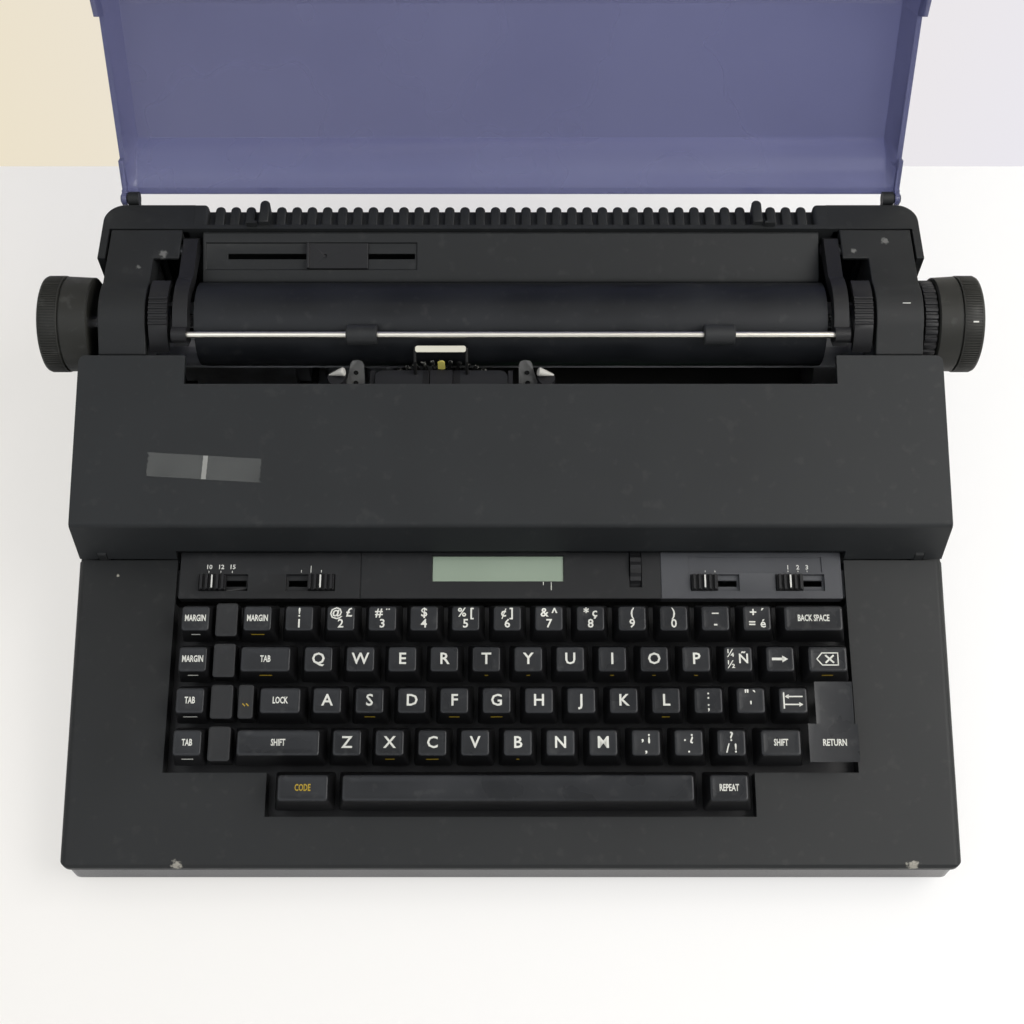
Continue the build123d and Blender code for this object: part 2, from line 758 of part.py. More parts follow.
def back_fins():
    """Upright rounded fins along the back, the fourth from each end taller."""
    fins = []
    for i in range(FIN_COUNT):
        x = (i - (FIN_COUNT - 1) / 2) * FIN_PITCH
        tall = i in (TALL_FIN, FIN_COUNT - 1 - TALL_FIN)
        top = TALL_FIN_TOP if tall else FIN_TOP
        tip = CASE_DEPTH - FIN_WIDTH / 2
        foot = FIN_BOTTOM - JOIN
        body = block(x - FIN_WIDTH / 2, x + FIN_WIDTH / 2, REAR_WALL_Y - WALL / 2, tip, foot, top)
        fins.append(body + rod_z(x, tip, FIN_WIDTH / 2, foot, top))
    return fins


def lid_lug(side):
    """A lug on the corner block with a stub pin for the lid."""
    y, z = LID_PIVOT
    x0, x1 = side * LUG_X[0], side * LUG_X[1]
    wall = BACK_FACE - WALL / 2
    arm = yz_prism(
        [(wall, z - 3 * LUG_RADIUS), (wall, z - LUG_RADIUS / 2), (y, z), (y + LUG_RADIUS, z)], x0, x1
    )
    pin = rod_x(y, z, LID_PIN_RADIUS, x0, side * (LID_HALF + PIN_PROUD))
    return arm + rod_x(y, z, LUG_RADIUS, x0, x1) + pin


def inlet_cutout(fit):
    x, z = INLET_AT
    w, h = INLET_BODY[0] / 2 + fit, INLET_BODY[1] / 2 + fit
    return block(x - w, x + w, BACK_FACE - 2 * WALL, BACK_FACE + WALL, z - h, z + h)


def power_inlet():
    """The mains inlet in the back of the left corner block: a shroud with three pins."""
    x, z = INLET_AT
    w, h = INLET_BODY[0] / 2, INLET_BODY[1] / 2
    y1 = BACK_FACE
    body = block(x - w, x + w, y1 - INLET_DEPTH, y1, z - h, z + h)
    w, h = INLET_FLANGE[0] / 2, INLET_FLANGE[1] / 2
    body += block(x - w, x + w, y1, y1 + INLET_RIM, z - h, z + h)
    w, h = INLET_SOCKET[0] / 2, INLET_SOCKET[1] / 2
    body -= block(x - w, x + w, y1 - INLET_HOLLOW, y1 + WALL, z - h, z + h)
    w, h = INLET_PIN[0] / 2, INLET_PIN[1] / 2
    for dx, dz in INLET_PIN_PLACES:
        body += block(
            x + dx - w, x + dx + w, y1 - INLET_HOLLOW - JOIN, y1 - INLET_PIN_SET_BACK, z + dz - h, z + dz + h
        )
    return body


def cover_outline(inset, below):
    """The side view of the access cover, drawn in by its wall and open below."""
    fy, fz = COVER_FRONT
    ry, rz = COVER_RIDGE
    by, bz = COVER_BACK
    top = (bz - rz) / (by - ry)
    lean = (ry - fy) / (rz - fz)
    low = inset * hypot(1, lean)
    high = inset * hypot(1, top)
    ridge_z = rz - high + inset * top
    front_low = fz - below
    return [
        (fy + low - below * lean, front_low),
        (fy + low + (ridge_z - fz) * lean, ridge_z),
        (by + below, rz - high + (by + below - ry) * top),
        (by + below, COVER_SKIRT_BACK - below),
    ]


def access_cover():
    """The wide cover over the print mechanism, cut away for the platen and hinged at its front."""
    outer = yz_prism(cover_outline(0, 0), -COVER_HALF, COVER_HALF)
    ridge = outer.edges().filter_by(Axis.X).sort_by(Axis.Z)
    front_top = [e for e in ridge if abs(e.center().Y - COVER_RIDGE[0]) < NEAR]
    outer = fillet(front_top, COVER_EDGE_RADIUS)
    top_face = outer.faces().sort_by(Axis.Z)[-1]
    ends = [e for e in top_face.edges() if abs(abs(e.center().X) - COVER_HALF) < NEAR]
    outer = fillet(ends, COVER_EDGE_RADIUS)
    half = COVER_HALF - COVER_WALL
    cover = outer - yz_prism(cover_outline(COVER_WALL, COVER_WALL), -half, half)
    y, z = COVER_FRONT
    cover -= block(-WELL_HALF, WELL_HALF, y - WALL, COVER_RIDGE[0] + WALL, z - WALL, COVER_LIP_Z)
    cover -= block(
        -COVER_CUT_HALF, COVER_CUT_HALF, COVER_CUT_FRONT, COVER_BACK[0] + WALL, COVER_RIDGE[1], TOOL_TOP
    )
    rim = block(
        -COVER_CUT_HALF, COVER_CUT_HALF, COVER_CUT_FRONT - COVER_WALL, COVER_CUT_FRONT, COVER_RIM_Z, TOOL_TOP
    )
    cover += rim & outer
    y, z = COVER_PIVOT
    for side in (-1, 1):
        x0, x1 = (side * x for x in COVER_LUG_X)
        cover -= cover_lug(x0 - side * JOINT_GAP, x1 + side * JOINT_GAP, JOINT_GAP)
        cover -= block(x0 - side * JOINT_GAP, x1 + side * JOINT_GAP, y - COVER_SLIT, y, z - 2 * WALL, z)
        inner = (COVER_PIN_X[0], COVER_LUG_X[0] - JOINT_GAP)
        outer = (COVER_LUG_X[1] + JOINT_GAP, COVER_PIN_X[1])
        for a, b in (inner, outer):
            boss = rod_x(y, z, COVER_BOSS_RADIUS, side * a, side * b)
            cover += boss & yz_prism(cover_outline(0, COVER_BOSS_RADIUS), -COVER_HALF, COVER_HALF)
    for side in (-1, 1):
        cover -= rod_x(
            y, z, COVER_PIN_RADIUS + PIN_FIT,
            side * (COVER_PIN_X[0] - JOINT_GAP), side * (COVER_PIN_X[1] + JOINT_GAP),
        )
    return cover


def bulge_outline(inset, below):
    """The side view of an end cover: a facet, a round over the platen's end, then a flat."""
    centre = (PLATEN_Y, PLATEN_Z)
    radius = BULGE_RADIUS - inset
    flat = END_FLAT_Z - inset
    rise = flat - PLATEN_Z
    meet = degrees(atan2(rise, (radius ** 2 - rise ** 2) ** 0.5))
    start = BULGE_START
    points = [(END_FRONT + inset, END_BOTTOM - below), (END_FRONT + inset, END_FRONT_Z - inset)]
    points += arc_points(centre, radius, start, meet, BULGE_STEPS)
    return points + [(END_BACK - inset, flat), (END_BACK - inset, END_BOTTOM - below)]


def end_cover():
    """The right end cover: a round cap over the platen's end and a flat behind the levers."""
    cap = yz_prism(bulge_outline(0, 0), BULGE_X, END_X[1])
    cap -= yz_prism(bulge_outline(END_WALL, END_WALL), BULGE_X + END_WALL, END_X[1] - END_WALL)
    flat = block(END_X[0], BULGE_X + END_WALL, NOTCH_BACK, END_BACK, END_FLAT_Z - END_WALL, END_FLAT_Z)
    flat += block(
        END_X[0], BULGE_X + END_WALL, END_BACK - END_WALL, END_BACK, END_FLAT_Z - END_LIP, END_FLAT_Z
    )
    cover = cap + flat
    width = SHAFT_RADIUS + END_SHAFT_GAP
    cover -= rod_x(PLATEN_Y, PLATEN_Z, width, END_X[0], END_X[1] + END_WALL)
    cover -= block(
        BULGE_X - END_WALL, END_X[1] + END_WALL, PLATEN_Y - width, PLATEN_Y + width,
        END_BOTTOM - END_WALL, PLATEN_Z,
    )
    cover -= block(
        BULGE_X - END_WALL, BULGE_X + 2 * END_WALL, END_FRONT + 2 * END_WALL, END_BACK - 2 * END_WALL,
        END_BOTTOM - END_WALL, END_INNER_BOTTOM,
    )
    y, z = BAIL_PIVOT
    gap = BAIL_PIN_RADIUS + JOINT_GAP
    cover -= rod_x(y, z, gap, BULGE_X - END_WALL, BULGE_X + 2 * END_WALL)
    cover -= block(
        BULGE_X - END_WALL, BULGE_X + 2 * END_WALL, y - gap, y + gap, END_INNER_BOTTOM - END_WALL, z
    )
    return cover


def end_covers():
    return group(*both_sides(end_cover()))


def table_point(y, above=0.0):
    """A point at the plan position y on the paper table's slope, lifted square to it."""
    y0, z0 = TABLE_FOOT
    slope = atan2(TABLE_LIP[1] - z0, TABLE_LIP[0] - y0)
    z = z0 + (y - y0) * tan(slope)
    return (y - above * sin(slope), z + above * cos(slope))


def table_plane():
    y0, z0 = TABLE_FOOT
    slope = atan2(TABLE_LIP[1] - z0, TABLE_LIP[0] - y0)
    return Plane(origin=(0, y0, z0), x_dir=(1, 0, 0), z_dir=(0, -sin(slope), cos(slope)))


def paper_table():
    """The sloping plate behind the platen, with the recess and slot of the paper guide."""
    ly, lz = TABLE_LIP
    fy, fz = TABLE_FOOT
    back = REAR_WALL_Y - WALL - JOINT_GAP
    outline = [
        (back, lz),
        (ly, lz),
        (fy, fz),
        (fy - TABLE_NOSE, fz - TABLE_NOSE),
        (fy - TABLE_NOSE, fz - TABLE_DROP),
        (fy - TABLE_NOSE + TABLE_WALL, fz - TABLE_DROP),
        (fy - TABLE_NOSE + TABLE_WALL, fz - TABLE_NOSE - TABLE_WALL / 2),
        table_point(fy + TABLE_WALL, -TABLE_WALL), table_point(ly, -TABLE_WALL),
        (back - TABLE_WALL, lz - 2 * TABLE_WALL), (back - TABLE_WALL, lz - TABLE_HOOK),
        (back, lz - TABLE_HOOK),
    ]
    table = yz_prism(outline, -TABLE_HALF, TABLE_HALF)
    plane = table_plane()
    x0, x1, deep = GUIDE_RECESS
    length = hypot(ly - fy, lz - fz)
    middle = length / 2
    half = GUIDE_SIZE[1] / 2
    gap = JOINT_GAP
    table -= plane * block(x0, x1, middle - half - gap, middle + half + gap, -deep, WALL)
    x0, x1, width = GUIDE_SLOT
    table -= plane * block(x0, x1, middle - width / 2, middle + width / 2, -3 * TABLE_WALL, WALL)
    return table


def paper_guide():
    """The sliding side stop for the paper, with its foot through the slot."""
    w, d, h = GUIDE_SIZE
    plane = table_plane()
    ly, lz = TABLE_LIP
    fy, fz = TABLE_FOOT
    middle = hypot(ly - fy, lz - fz) / 2
    base = GUIDE_FLOAT - GUIDE_RECESS[2]
    body = block(GUIDE_X - w / 2, GUIDE_X + w / 2, middle - d / 2, middle + d / 2, base, base + GUIDE_PLATE)
    body += block(
        GUIDE_X - w / 2, GUIDE_X - w / 2 + GUIDE_PLATE, middle - d / 2, middle + d / 2, base, base + h
    )
    body -= rod_z(GUIDE_X - w / 5, middle, GUIDE_PLATE / 2, base + GUIDE_PLATE / 2, base + h)
    sw, sd = GUIDE_STEM
    x0, x1 = GUIDE_X - sw / 2, GUIDE_X + sw / 2
    body += block(x0, x1, middle - sd / 2, middle + sd / 2, -2 * TABLE_WALL, base + GUIDE_PLATE / 2)
    body += block(
        GUIDE_X - sw / 2, GUIDE_X + sw / 2, middle - sd, middle + sd,
        -2 * TABLE_WALL - GUIDE_PLATE, -TABLE_WALL - JOINT_GAP,
    )
    return plane * body


def switch_travel():
    return SWITCH_RECESS[0] - SWITCH_KNOB[0] - 2 * SWITCH_SIDE_GAP


def switch_x(name):
    """Where a slide switch's knob stands at rest: against one end of its recess."""
    reach = switch_travel() / 2
    return SWITCH_CENTRES[name] + (-reach if SWITCH_AT_LEFT[name] else reach)


def control_panel():
    """The panel behind the keys: switch recesses, display window and thumbwheel slot."""
    v0, v1 = up_deck(PANEL_FRONT), up_deck(PANEL_REAR)
    panel = deck_block(-PANEL_HALF, PANEL_HALF, v0, v1, -WALL, 0)
    panel += deck_block(-PANEL_HALF, PANEL_HALF, v0, v0 + PANEL_EDGE, -PANEL_LIP, 0)
    tab_end = up_deck(DECK_REAR - WALL) - PANEL_EDGE
    for side in (-1, 1):
        x0, x1 = side * (PANEL_HALF - PANEL_EDGE), side * (WELL_HALF + SKIRT_WALL)
        panel += deck_block(x0, x1, v0 + PANEL_EDGE, tab_end, -PANEL_LIP, -WALL - JOINT_GAP)
        panel -= deck_block(
            side * PANEL_GROOVE_X - PANEL_GROOVE / 2, side * PANEL_GROOVE_X + PANEL_GROOVE / 2,
            v0 - JOIN, v1 + JOIN, -PANEL_GROOVE, JOIN,
        )
    width, depth, deep = SWITCH_RECESS
    v = up_deck(SWITCH_ROW)
    for x in SWITCH_CENTRES.values():
        panel += deck_block(
            x - width / 2 - PANEL_EDGE, x + width / 2 + PANEL_EDGE, v - depth / 2 - PANEL_EDGE,
            v + depth / 2 + PANEL_EDGE, -deep - PANEL_EDGE, -WALL / 2,
        )
        panel -= deck_block(x - width / 2, x + width / 2, v - depth / 2, v + depth / 2, -deep, JOIN)
        slot = width / 2 - SWITCH_SLOT_END
        panel -= deck_block(
            x - slot, x + slot, v - SWITCH_SLOT / 2, v + SWITCH_SLOT / 2, -2 * PANEL_LIP, JOIN
        )
    x0, x1, y0, y1 = DISPLAY_WINDOW
    panel -= deck_block(x0, x1, up_deck(y0), up_deck(y1), -2 * WALL, JOIN)
    half = WHEEL_WIDTH / 2 + SLOT_GAP
    chord = (WHEEL_RADIUS ** 2 - (WHEEL_RADIUS - WHEEL_PROUD - WALL) ** 2) ** 0.5 + SLOT_GAP
    v = up_deck(WHEEL_Y)
    panel -= deck_block(WHEEL_X - half, WHEEL_X + half, v - chord, v + chord, -2 * PANEL_LIP, JOIN)
    lw, lh, ld = LABEL_RECESS
    v = up_deck(LABEL_Y)
    panel -= deck_block(LABEL_X - lw / 2, LABEL_X + lw / 2, v - lh / 2, v + lh / 2, -ld, JOIN)
    return panel + wheel_bracket()


def slide_switch(name):
    """One slide switch knob: a ribbed cap in its recess, on a stem through the slot."""
    w, d, h = SWITCH_KNOB
    x, v = switch_x(name), up_deck(SWITCH_ROW)
    floor = -SWITCH_RECESS[2] + SWITCH_FLOAT
    knob = block(x - w / 2, x + w / 2, v - d / 2, v + d / 2, floor, floor + SWITCH_PLATE)
    for i in range(SWITCH_RIBS):
        rib = x + (i - (SWITCH_RIBS - 1) / 2) * w / SWITCH_RIBS
        knob += block(rib - SWITCH_RIB / 2, rib + SWITCH_RIB / 2, v - d / 2, v + d / 2, floor, floor + h)
    knob += block(
        x - SWITCH_STEM / 2, x + SWITCH_STEM / 2, v - SWITCH_STEM / 2, v + SWITCH_STEM / 2,
        -PANEL_LIP - JOIN, floor + SWITCH_PLATE / 2,
    )
    return DECK * knob


def thumbwheel():
    """The ribbed wheel that stands a little out of the panel."""
    v, w = up_deck(WHEEL_Y), WHEEL_PROUD - WHEEL_RADIUS
    wheel = rod_x(v, w, WHEEL_RADIUS - WHEEL_RIB, WHEEL_X - WHEEL_WIDTH / 2, WHEEL_X + WHEEL_WIDTH / 2)
    section = [
        polar((v, w), WHEEL_RADIUS - (WHEEL_RIB if i % 2 else 0), i * 180 / WHEEL_RIBS)
        for i in range(2 * WHEEL_RIBS)
    ]
    wheel += yz_prism(section, WHEEL_X - WHEEL_WIDTH / 2, WHEEL_X + WHEEL_WIDTH / 2)
    wheel -= rod_x(v, w, WHEEL_PIN + PIN_FIT, WHEEL_X - WHEEL_WIDTH, WHEEL_X + WHEEL_WIDTH)
    return DECK * wheel


def display_module():
    """The display: a framed glass cell under the window."""
    x0, x1, y0, y1 = DISPLAY_WINDOW
    v0, v1 = up_deck(y0), up_deck(y1)
    edge = DISPLAY_EDGE
    top = -WALL - JOINT_GAP
    cell = block(x0 - edge, x1 + edge, v0 - edge, v1 + edge, top - DISPLAY_THICKNESS, top)
    gap = JOINT_GAP
    cell += block(x0 + gap, x1 - gap, v0 + gap, v1 - gap, top - JOIN, -DISPLAY_SUNK)
    return DECK * cell


def wheel_bracket():
    """A fork under the panel that carries the thumbwheel's pin."""
    v, w = up_deck(WHEEL_Y), WHEEL_PROUD - WHEEL_RADIUS
    pin = rod_x(v, w, WHEEL_PIN, WHEEL_X - WHEEL_WIDTH, WHEEL_X + WHEEL_WIDTH)
    for side in (-1, 1):
        a = WHEEL_X + side * (WHEEL_WIDTH / 2 + SLOT_GAP)
        b = WHEEL_X + side * (WHEEL_WIDTH / 2 + SLOT_GAP + PANEL_EDGE)
        pin += block(a, b, v - 3 * WHEEL_PIN, v + 3 * WHEEL_PIN, w - 2 * WHEEL_PIN, -WALL / 2)
    return DECK * pin


def key_rows():
    """Distance up the deck of each row of keys, space row first."""
    rows = [BOTTOM_ROW - SPACE_ROW_PITCH]
    return rows + [BOTTOM_ROW + i * KEY_PITCH for i in range(4)]


def row_of_keys(row, first, count):
    return [(row, first + i * KEY_PITCH, KEY_TOP[0]) for i in range(count)]


KEY_GROUPS = {name: row_of_keys(*keys) for name, keys in LETTER_ROWS.items()} | OTHER_KEYS


def key_hull(x, v, top, flare, height, skirt):
    """A tapered key body between its skirt and its top."""
    w, d = top
    fx, fv = flare
    base = Plane((x, v, skirt)) * Rectangle(w + 2 * fx, d + 2 * fv)
    cap = Plane((x, v, height)) * Rectangle(w, d)
    return loft([base, cap], ruled=True)


def rounded_hull(x, v, top, flare, height, skirt):
    """The same body with its four corner edges rounded."""
    hull = key_hull(x, v, top, flare, height, skirt)
    corners = [e for e in hull.edges() if abs(e.bounding_box().size.Z) > (height - skirt) / 2]
    return fillet(corners, KEY_CORNER)


def stem_places(x, w):
    """Wide keys slide on two stems."""
    if w > 3 * KEY_TOP[0]:
        return [x - w / 3, x + w / 3]
    return [x]


def key(x, row, w, flare=KEY_FLARE, top_depth=KEY_TOP[1], height=KEY_TOP_HEIGHT, depth_flare=KEY_DEPTH_FLARE):
    """One hollow key cap with a dished top and a square stem."""
    v = key_rows()[row]
    cap = rounded_hull(x, v, (w, top_depth), (flare, depth_flare), height, KEY_SKIRT_HEIGHT)
    inner = (w - 2 * KEY_WALL, top_depth - 2 * KEY_WALL)
    cap -= key_hull(x, v, inner, (flare, depth_flare), height - 2 * KEY_WALL, KEY_SKIRT_HEIGHT)
    dish = KEY_DISH_RADIUS + height - KEY_DISH_DEPTH
    if row != SPACE_ROW:
        cap -= Pos(x, v, dish) * Rot(90, 0, 0) * Cylinder(KEY_DISH_RADIUS, 2 * top_depth)
    return cap + key_stems(x, v, w, height)


def key_stems(x, v, w, height):
    stems = []
    for at in stem_places(x, w):
        half = KEY_STEM / 2
        stems.append(block(at - half, at + half, v - half, v + half, KEY_STEM_BOTTOM, height - KEY_WALL))
    return stems


def key_group(name):
    keys = []
    for row, x, w in KEY_GROUPS[name]:
        flare = MARGIN_FLARE if name == "margin_keys" and x < BLANK_X else KEY_FLARE
        keys.append(DECK * key(x, row, w, flare))
    return group(*keys)


def blank_keys():
    """Four low blank keys and the narrow tall one beside the shift lock."""
    width, depth = BLANK_KEY
    flare = BLANK_KEY_FLARE
    keys = [
        DECK * key(BLANK_X, row, width, flare, depth, BLANK_KEY_HEIGHT, flare)
        for row in (BOTTOM, HOME, UPPER, NUMBERS)
    ]
    x, w = NARROW_KEY
    keys.append(DECK * key(x, HOME, w, BLANK_KEY_FLARE, BLANK_KEY[1], BLANK_KEY_HEIGHT, BLANK_KEY_FLARE))
    return group(*keys)


def return_hull(shrink, height):
    """The L-shaped body of the return key, drawn in by a wall."""
    rows = key_rows()
    flare = (KEY_FLARE, KEY_DEPTH_FLARE)
    deep = KEY_TOP[1] - 2 * shrink
    hull = []
    for (x, w), row in ((RETURN_LOWER, BOTTOM), (RETURN_UPPER, HOME)):
        hull.append(key_hull(x, rows[row], (w - 2 * shrink, deep), flare, height, KEY_SKIRT_HEIGHT))
    x, w = RETURN_UPPER
    middle = (rows[BOTTOM] + rows[HOME]) / 2
    hull.append(key_hull(x, middle, (w - 2 * shrink, KEY_PITCH), (KEY_FLARE, 0), height, KEY_SKIRT_HEIGHT))
    return hull[0] + hull[1:]


def return_key():
    """The L-shaped key over the two middle rows at the right, hollow like the others."""
    rows = key_rows()
    cap = return_hull(0, KEY_TOP_HEIGHT) - return_hull(KEY_WALL, KEY_TOP_HEIGHT - 2 * KEY_WALL)
    for (x, w), row in ((RETURN_LOWER, BOTTOM), (RETURN_UPPER, HOME)):
        cap += key_stems(x, rows[row], w, KEY_TOP_HEIGHT)
    return DECK * cap


def stem_sites():
    """Every stem on the keyboard, as (x, distance up the deck)."""
    rows = key_rows()
    sites = []
    for keys in KEY_GROUPS.values():
        for row, x, w in keys:
            sites += [(at, rows[row]) for at in stem_places(x, w)]
    sites += [(BLANK_X, rows[row]) for row in (BOTTOM, HOME, UPPER, NUMBERS)]
    sites.append((NARROW_KEY[0], rows[HOME]))
    return sites + [(RETURN_LOWER[0], rows[BOTTOM]), (RETURN_UPPER[0], rows[HOME])]


def keyboard_plate():
    """The moulded plate with a square sleeve for every key stem."""
    half = WELL_HALF + SKIRT_WALL
    v0, v1 = up_deck(SPACE_WELL_FRONT) - SKIRT_WALL, up_deck(PANEL_FRONT) - WELL_SKIRT_SHORT
    plate = block(-half, half, v0, v1, PLATE_TOP - PLATE_THICKNESS, PLATE_TOP)
    outer = KEY_STEM / 2 + KEY_STEM_FIT + SLEEVE_WALL
    sleeves = []
    holes = []
    hole = outer - SLEEVE_WALL
    for x, v in stem_sites():
        top = PLATE_TOP + SLEEVE_HEIGHT
        sleeves.append(block(x - outer, x + outer, v - outer, v + outer, PLATE_TOP - JOIN, top))
        holes.append(block(x - hole, x + hole, v - hole, v + hole, KEY_BOARD_TOP, KEY_TOP_HEIGHT))
    return DECK * ((plate + sleeves) - holes)


def keyboard_circuit():
    """The circuit board under the key stems, hung from the plate on spacers."""
    half = WELL_HALF
    v0, v1 = up_deck(SPACE_WELL_FRONT), up_deck(PANEL_FRONT) - 2 * WELL_SKIRT_SHORT
    bottom = KEY_BOARD_BOTTOM
    board = block(-half, half, v0, v1, bottom, bottom + BOARD_THICKNESS)
    for x in (-half + SPACER_INSET, half - SPACER_INSET):
        for v in (up_deck(WELL_FRONT) + SPACER_INSET, v1 - SPACER_INSET):
            board += rod_z(x, v, SPACER_RADIUS, bottom + BOARD_THICKNESS / 2, PLATE_TOP - PLATE_THICKNESS)
    return DECK * board


def spur_outline(teeth, addendum):
    """A spur gear's outline with true involute flanks, thinned by the backlash."""
    module = GEAR_MODULE
    pitch = teeth * module / 2
    base = pitch * cos(radians(PRESSURE_ANGLE))
    root = pitch - GEAR_DEDENDUM * module
    tip = pitch + addendum * module
    flat = tan(radians(PRESSURE_ANGLE)) - radians(PRESSURE_ANGLE)
    half = (pi * module / 2 - GEAR_BACKLASH) / (2 * pitch)
    flank = []
    for i in range(FLANK_STEPS + 1):
        radius = max(base, root) + (tip - max(base, root)) * i / FLANK_STEPS
        roll = (max(0.0, (radius / base) ** 2 - 1)) ** 0.5
        flank.append((radius, half + flat - (roll - atan2(roll, 1))))
    if root < base:
        flank.insert(0, (root, flank[0][1]))
    points = []
    for t in range(teeth):
        centre = 2 * pi * t / teeth
        points += [(r, centre - a) for r, a in flank]
        points += [(r, centre + a) for r, a in reversed(flank)]
    return points


def spur_gear(centre, teeth, bore, turn):
    """A spur gear on an axis along X; turn is the angle of its first tooth from +Y."""
    y, z = centre
    outline = [
        (y + r * cos(a + radians(turn)), z + r * sin(a + radians(turn)))
        for r, a in spur_outline(teeth, GEAR_ADDENDUM)
    ]
    return yz_prism(outline, *GEAR_X) - rod_x(y, z, bore, GEAR_X[0] - JOIN, GEAR_X[1] + JOIN)


def mesh_turn(teeth, angle, other_teeth, other_turn):
    """Where a gear's tooth points so that it meshes with its neighbour, which lies at an angle."""
    phase = (angle - other_turn) * other_teeth / 360
    return angle + 180 + (phase % 1 + 0.5) * 360 / teeth


def gear_centres():
    platen = (PLATEN_Y, PLATEN_Z)
    reach = GEAR_MODULE * (PLATEN_TEETH + IDLER_TEETH) / 2 + MESH_GAP
    idler = polar(platen, reach, IDLER_ANGLE)
    reach = GEAR_MODULE * (IDLER_TEETH + PINION_TEETH) / 2 + MESH_GAP
    return platen, idler, polar(idler, reach, PINION_ANGLE)


def gear_turns():
    idler = mesh_turn(IDLER_TEETH, IDLER_ANGLE, PLATEN_TEETH, 0.0)
    return 0.0, idler, mesh_turn(PINION_TEETH, PINION_ANGLE, IDLER_TEETH, idler)


def platen_roller():
    """The rubber-covered platen."""
    tube = rod_x(PLATEN_Y, PLATEN_Z, PLATEN_RADIUS, -PLATEN_HALF, PLATEN_HALF)
    return tube - rod_x(PLATEN_Y, PLATEN_Z, SHAFT_RADIUS, -PLATEN_HALF - JOIN, PLATEN_HALF + JOIN)


def platen_shaft():
    return rod_x(PLATEN_Y, PLATEN_Z, SHAFT_RADIUS, -KNOB_OUTER + KNOB_BAND, KNOB_OUTER - KNOB_BAND)


def platen_gear():
    return spur_gear((PLATEN_Y, PLATEN_Z), PLATEN_TEETH, SHAFT_RADIUS, gear_turns()[0])


def platen_knob(side, inner):
    """A platen knob: a smooth tapered hub and a grooved grip with a dished end."""
    outer = KNOB_OUTER
    grip = outer - KNOB_BAND
    profile = [
        (SHAFT_RADIUS, inner), (KNOB_HUB_RADIUS, inner), (KNOB_HUB_RADIUS, inner + KNOB_FLANGE),
        (KNOB_RADIUS - KNOB_ROUND, grip - KNOB_ROUND), (KNOB_RADIUS, grip), (KNOB_RADIUS, outer - KNOB_EDGE),
        (KNOB_RADIUS - KNOB_EDGE, outer), (KNOB_RADIUS - KNOB_RIM, outer),
        (KNOB_RADIUS - KNOB_RIM - KNOB_DISH_SLOPE, outer - KNOB_DISH), (0, outer - KNOB_DISH), (0, grip),
        (SHAFT_RADIUS, grip),
    ]
    knob = revolve(make_face(Polyline(*[(x, r) for r, x in profile], close=True)), Axis.X)
    groove = Rot(45, 0, 0) * Box(KNOB_BAND + 2 * JOIN, KNOB_GROOVE, KNOB_GROOVE)
    for i in range(KNOB_GROOVES):
        knob -= Rot(360 * i / KNOB_GROOVES, 0, 0) * Pos(grip + KNOB_BAND / 2, 0, KNOB_RADIUS) * groove
    knob = Pos(0, PLATEN_Y, PLATEN_Z) * knob
    return knob if side > 0 else mirror(knob, about=Plane.YZ)


def clutch_ring():
    """The coarse toothed ring between the right end cover and the knob."""
    centre = (PLATEN_Y, PLATEN_Z)
    outline = []
    step = 360 / RING_TEETH
    root = RING_RADIUS - RING_TOOTH
    foot, rise, top = RING_TOOTH_RISE
    for i in range(RING_TEETH):
        for part, radius in ((0, root), (foot, root), (rise, RING_RADIUS), (top, RING_RADIUS)):
            outline.append(polar(centre, radius, (i + part) * step))
    ring = yz_prism(outline, *RING_X)
    return ring - rod_x(*centre, SHAFT_RADIUS + SHAFT_FIT, RING_X[0] - JOIN, RING_X[1] + JOIN)


def lever(side):
    """A thumb lever about the platen shaft: hub, web and a ribbed rim."""
    centre = (PLATEN_Y, PLATEN_Z)
    a0, a1 = LEVER_SECTOR
    x0, x1 = side * LEVER_X[0], side * LEVER_X[1]
    outline = arc_points(centre, LEVER_RADIUS, a0, a1, ARC_STEPS)
    outline += arc_points(centre, LEVER_RADIUS - LEVER_RIM, a1, a0, ARC_STEPS)
    body = yz_prism(outline, x0, x1)
    web = arc_points(centre, LEVER_RADIUS - LEVER_RIM / 2, a0, a1, ARC_STEPS) + [centre]
    middle = (x0 + x1) / 2
    body += yz_prism(web, middle - LEVER_WEB / 2, middle + LEVER_WEB / 2)
    body += rod_x(*centre, LEVER_HUB, middle - LEVER_HUB_WIDTH / 2, middle + LEVER_HUB_WIDTH / 2)
    for i in range(LEVER_RIBS):
        angle = LEVER_RIB_ANGLE + i * LEVER_RIB_PITCH
        y, z = polar(centre, LEVER_RADIUS, angle)
        body += rod_x(y, z, LEVER_RIB, x0, x1)
    return body - rod_x(*centre, SHAFT_RADIUS + SHAFT_FIT, x0 - side * JOIN, x1 + side * JOIN)


